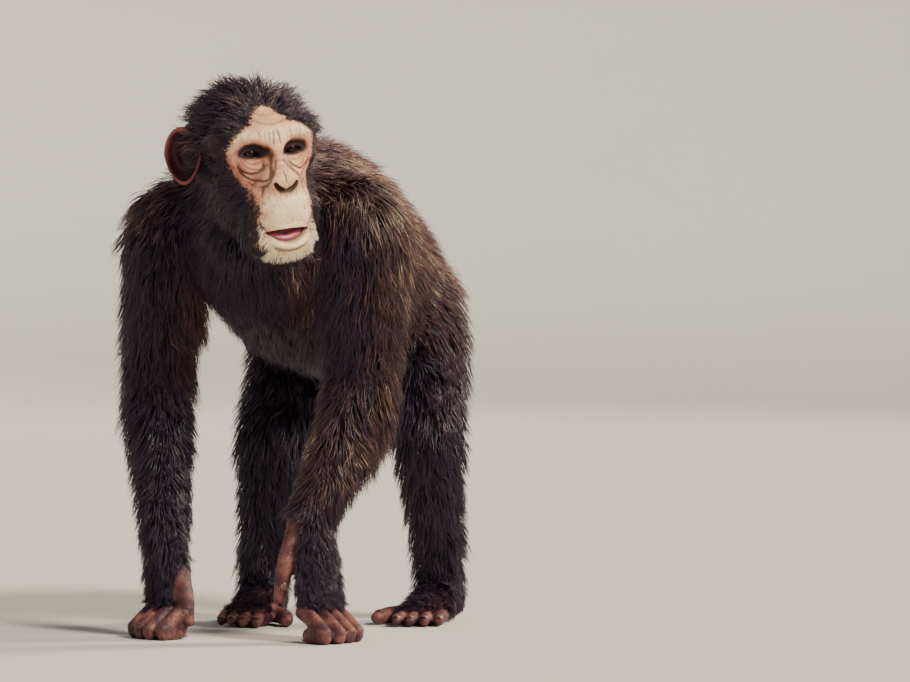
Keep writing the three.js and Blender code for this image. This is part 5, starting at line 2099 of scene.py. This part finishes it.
@dataclass(frozen=True)
class CoatFinish:
    """Hair: near black at the root, with lighter tips that are partly bleached and partly painted highlight.
    """

    root: Colour = tone(20, 14, 24)
    dark_tip: Colour = tone(58, 40, 68)
    brown_tip: Colour = tone(108, 69, 69)
    # Cream tips, partly painted highlight
    cream_tip: Colour = tone(240, 210, 166)
    white: Colour = tone(250, 236, 206)
    roughness: float = 0.36

    def material(self) -> Material:
        """The coat's material.

        Returns:
            The material.
        """
        s = Shades("coat", self.roughness, specular_ior_level=0.55)
        up, gold, random, pale = s.parts("hair")
        patches = s.between(s.noise(9, 3), 0.35, 0.7)
        # Light tips, partly bleached and partly painted highlight
        amount = s.maths("MULTIPLY", gold, s.maths("MULTIPLY_ADD", patches, 0.5, 0.5))
        tip = s.mix(s.between(amount, 0.02, 0.4), self.dark_tip, self.brown_tip)
        tip = s.mix(s.between(amount, 0.45, 0.92), tip, self.cream_tip)
        rise = s.maths("POWER", up, 1.5)
        colour = s.mix(rise, self.root, tip)
        light = s.node("MapRange", 0, {"Value": random, "To Min": 0.5, "To Max": 1.6})
        grey = s.node("CombineColor", 0, {0: light, 1: light, 2: light})
        colour = s.mix(1.0, colour, grey, "MULTIPLY")
        return s.done(s.mix(pale, colour, self.white))


@dataclass(frozen=True)
class SkinFinish:
    """Skin: pale and mottled on the face with painted shade and highlight, reddish brown on hands and feet,
    dark under the coat.
    """

    covered: Colour = tone(38, 28, 38)
    face: Colour = tone(214, 156, 120)
    # Pale skin of the muzzle and brow, also a painted highlight on the brow ridge
    light: Colour = tone(250, 222, 178)
    # Reddish skin of the cheeks, also painted shade on the right cheek and round the orbits
    blush: Colour = tone(150, 72, 64)
    # The dark of the orbits, partly their skin and partly painted shade, and of freckles and blotches
    orbit: Colour = tone(38, 18, 28)
    mouth: Colour = tone(92, 36, 52)
    hands: Colour = tone(66, 35, 41)
    hands_pale: Colour = tone(120, 75, 67)
    ears: Colour = tone(52, 26, 34)
    # The ears' rim, reddish skin with a painted highlight
    ear_rim: Colour = tone(122, 70, 66)
    # The colour of the painted shade in the folds, nostrils and lid slits, and of the moles
    crease: Colour = tone(40, 18, 28)
    roughness: float = 0.52
    roughest: float = 0.72
    # How many of each mark there are to a metre
    mottles: float = 45
    blotches: float = 260
    freckles: float = 620
    pores: float = 420
    cells: float = 600

    def material(self) -> Material:
        """The skin's material.

        Returns:
            The material.
        """
        s = Shades("skin", self.roughness, specular_ior_level=0.4, subsurface_weight=0.06)
        bare, limbs, mouth, _ = s.parts("zones")
        fold, orbit, cheek_blush_and_shade, light = s.parts("marks")
        ears, rim, _, _ = s.parts("ears")
        mottle = s.between(s.noise(self.mottles, 4), 0.38, 0.66)
        fine = s.between(s.noise(self.blotches, 4), 0.4, 0.65)
        # Pale muzzle and brow, with a painted highlight on the brow ridge
        lit = s.maths("MULTIPLY_ADD", mottle, 0.35, s.maths("MULTIPLY", light, 0.8))
        face = s.mix(lit, self.face, self.light)
        # Reddish cheeks, stronger on the right as painted shade
        flush_and_shade = s.maths("MULTIPLY_ADD", s.between(s.noise(70, 4), 0.3, 0.75), 0.7, 0.2)
        face = s.mix(s.maths("MULTIPLY", cheek_blush_and_shade, flush_and_shade), face, self.blush)
        face = s.mix(s.maths("MULTIPLY", fine, 0.25), face, self.blush)
        freckles = s.between(s.noise(self.freckles, 1), 0.7, 0.78)
        face = s.mix(s.maths("MULTIPLY", freckles, 0.5), face, self.orbit)
        # Dark skin and painted shade about the eyes, edged with red
        face = s.mix(s.maths("MULTIPLY", s.between(orbit, 0.02, 0.5), 0.5), face, self.blush)
        face = s.mix(s.between(orbit, 0.25, 0.85), face, self.orbit)
        hands = s.mix(mottle, self.hands, self.hands_pale)
        hands = s.mix(s.maths("MULTIPLY", fine, 0.35), hands, self.orbit)
        # A lighter rim on the dark ear, partly painted highlight
        ear = s.mix(rim, self.ears, self.ear_rim)
        colour = s.mix(limbs, self.covered, hands)
        colour = s.mix(bare, colour, face)
        colour = s.mix(ears, colour, ear)
        colour = s.mix(mouth, colour, self.mouth)
        # Painted shade in the folds, nostrils and lid slits, and the dark moles
        colour = s.mix(s.maths("MULTIPLY", fold, 0.93), colour, self.crease)
        relief = s.bump(s.noise(self.pores, 5), 0.6, 0.0006)
        cells = s.node("TexVoronoi", "Distance", {"Vector": s.places(), "Scale": self.cells})
        relief = s.bump(cells, 0.45, 0.0004, relief)
        rough = s.node("MapRange", 0, {"Value": fine, "To Min": self.roughness, "To Max": self.roughest})
        return s.done(colour, relief, rough)


@dataclass(frozen=True)
class EyeFinish:
    """Eyes: a black pupil in a dark brown iris, and dark whites."""

    pupil: Colour = tone(6, 4, 5)
    iris: Colour = tone(54, 26, 16)
    white: Colour = tone(40, 26, 28)

    def material(self) -> Material:
        """The eyeballs' material.

        Returns:
            The material.
        """
        s = Shades("eye", 0.3, specular_ior_level=0.08, coat_weight=0.4, coat_roughness=0.04)
        out, turned, _, _ = s.parts("iris")
        rays = s.node("TexNoise", "Fac", {"Vector": s.places(), "Scale": 900.0, "Detail": 2.0})
        iris = s.mix(s.between(rays, 0.3, 0.7), self.iris, self.pupil)
        colour = s.mix(s.between(out, 0.16, 0.2), self.pupil, iris)
        return s.done(s.mix(s.between(out, 0.44, 0.54), colour, self.white))


@dataclass(frozen=True)
class TongueFinish:
    """The tongue: wet and pink, finely dotted."""

    base: Colour = tone(178, 90, 116)
    light: Colour = tone(214, 130, 144)

    def material(self) -> Material:
        """The tongue's material.

        Returns:
            The material.
        """
        s = Shades("tongue", 0.3, specular_ior_level=0.6, subsurface_weight=0.1)
        dots = s.between(s.noise(700, 2), 0.4, 0.62)
        colour = s.mix(s.maths("MULTIPLY", dots, s.noise(60, 3)), self.base, self.light)
        return s.done(colour, s.bump(dots, 0.4, 0.0004))


@dataclass(frozen=True)
class NailFinish:
    """Nails: dark horn, ridged along their length."""

    base: Colour = tone(62, 44, 42)
    light: Colour = tone(128, 98, 86)

    def material(self) -> Material:
        """The nails' material."""
        s = Shades("nail", 0.32, specular_ior_level=0.5)
        streaks = s.noise(300, 3)
        colour = s.mix(s.between(streaks, 0.35, 0.7), self.base, self.light)
        return s.done(colour, s.bump(streaks, 0.2, 0.0004))


@dataclass
class Studio:
    """The floor, lights and camera."""

    azimuth: float = 19  # the camera's place, in degrees from straight ahead to the animal's left
    elevation: float = 1.5
    camera_at: Row = (2866.1, -7679.4, 636.4)
    focal: float = 221.54
    sensor: float = 36
    far: float = 60  # how far the camera sees, in metres
    floor_colour: Colour = (0.6, 0.58, 0.55)
    # The floor's section from its middle to the top of its wall: metres out and up
    section: Rows = ((0, 0), (3, 0), (6, 0), (9, 0), (10.8, 0.35), (11.7, 1.4), (12, 2.8), (12, 4))
    # name, degrees from straight ahead to the animal's left, degrees up, strength, softness and colour
    lamps: Sequence[tuple[str, float, float, float, float, Colour]] = (
        ("key", 62, 38, 4.6, 14, (1.0, 0.92, 0.78)),
        ("rim", 132, 34, 4.0, 14, (1.0, 0.86, 0.66)),
        ("fill", -40, 20, 0.35, 50, (0.82, 0.78, 1.0)),
    )
    sky: Row = (0.84, 0.82, 0.92, 1)
    sky_strength: float = 0.2

    def floor(self) -> None:
        """A plain pale floor that curves up all round into a low wall."""
        bpy.ops.mesh.primitive_grid_add(x_subdivisions=96, y_subdivisions=28, size=2)
        floor = bpy.context.active_object
        floor.name = "floor"
        across, forth, _ = read_points(floor.data).T
        out, up = smooth_curve(np.array(self.section, float), (forth + 1) / 2).T
        x, y = out * np.cos(-math.pi * across), out * np.sin(-math.pi * across)
        write_points(floor.data, np.column_stack([x, y, np.maximum(up, 0)]))
        bpy.ops.object.shade_smooth()
        s = Shades("floor", 0.9)
        worn = tuple(c * 0.95 for c in self.floor_colour)
        floor.data.materials.append(s.done(s.mix(s.noise(1.5, 3), self.floor_colour, worn)))

    def lights(self) -> None:
        """Soft lamps from far off, and a faint sky."""
        for name, aside, up, strength, soft, colour in self.lamps:
            lamp = bpy.data.lights.new(name, "SUN")
            lamp.angle = math.radians(soft)
            lamp.energy = strength
            lamp.color = colour
            holder = bpy.data.objects.new(name, lamp)
            a, e = math.radians(aside), math.radians(up)
            toward = Vector((math.sin(a) * math.cos(e), -math.cos(a) * math.cos(e), math.sin(e)))
            holder.location = toward * 6
            holder.rotation_euler = toward.to_track_quat("Z", "Y").to_euler()
            bpy.context.scene.collection.objects.link(holder)
        world = bpy.data.worlds.new("studio")
        world.use_nodes = True
        back = world.node_tree.nodes["Background"]
        back.inputs[0].default_value = self.sky
        back.inputs[1].default_value = self.sky_strength
        bpy.context.scene.world = world

    def camera(self) -> None:
        """The camera at the picture's angle."""
        lens = bpy.data.cameras.new("camera")
        lens.lens = self.focal
        lens.sensor_width = self.sensor
        lens.clip_end = self.far
        holder = bpy.data.objects.new("camera", lens)
        a, e = math.radians(self.azimuth), math.radians(self.elevation)
        look = Vector((-math.sin(a) * math.cos(e), math.cos(a) * math.cos(e), -math.sin(e)))
        right = Vector((math.cos(a), math.sin(a), 0))
        up = right.cross(look)
        spin = Matrix((right, up, -look)).transposed().to_4x4()
        at = to_scene(np.array(self.camera_at))
        holder.matrix_world = Matrix.Translation(at) @ spin
        bpy.context.scene.collection.objects.link(holder)
        bpy.context.scene.camera = holder

    def build(self) -> None:
        """Sets up the studio."""
        self.floor()
        self.lights()
        self.camera()


def main() -> None:
    """Builds the animal in order, then its studio."""
    logging.basicConfig(level=logging.INFO, format="%(message)s")
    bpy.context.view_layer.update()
    Studio().build()
    skin = Skin()
    skin.build()
    chart = Chart(skin.points, skin.normals)
    skin.dress(chart)
    for side in Side:
        Eyes().build(side)
    Tongue().build()
    Nails().build()
    Coat(skin, chart).build()


if __name__ == "__main__":
    main()
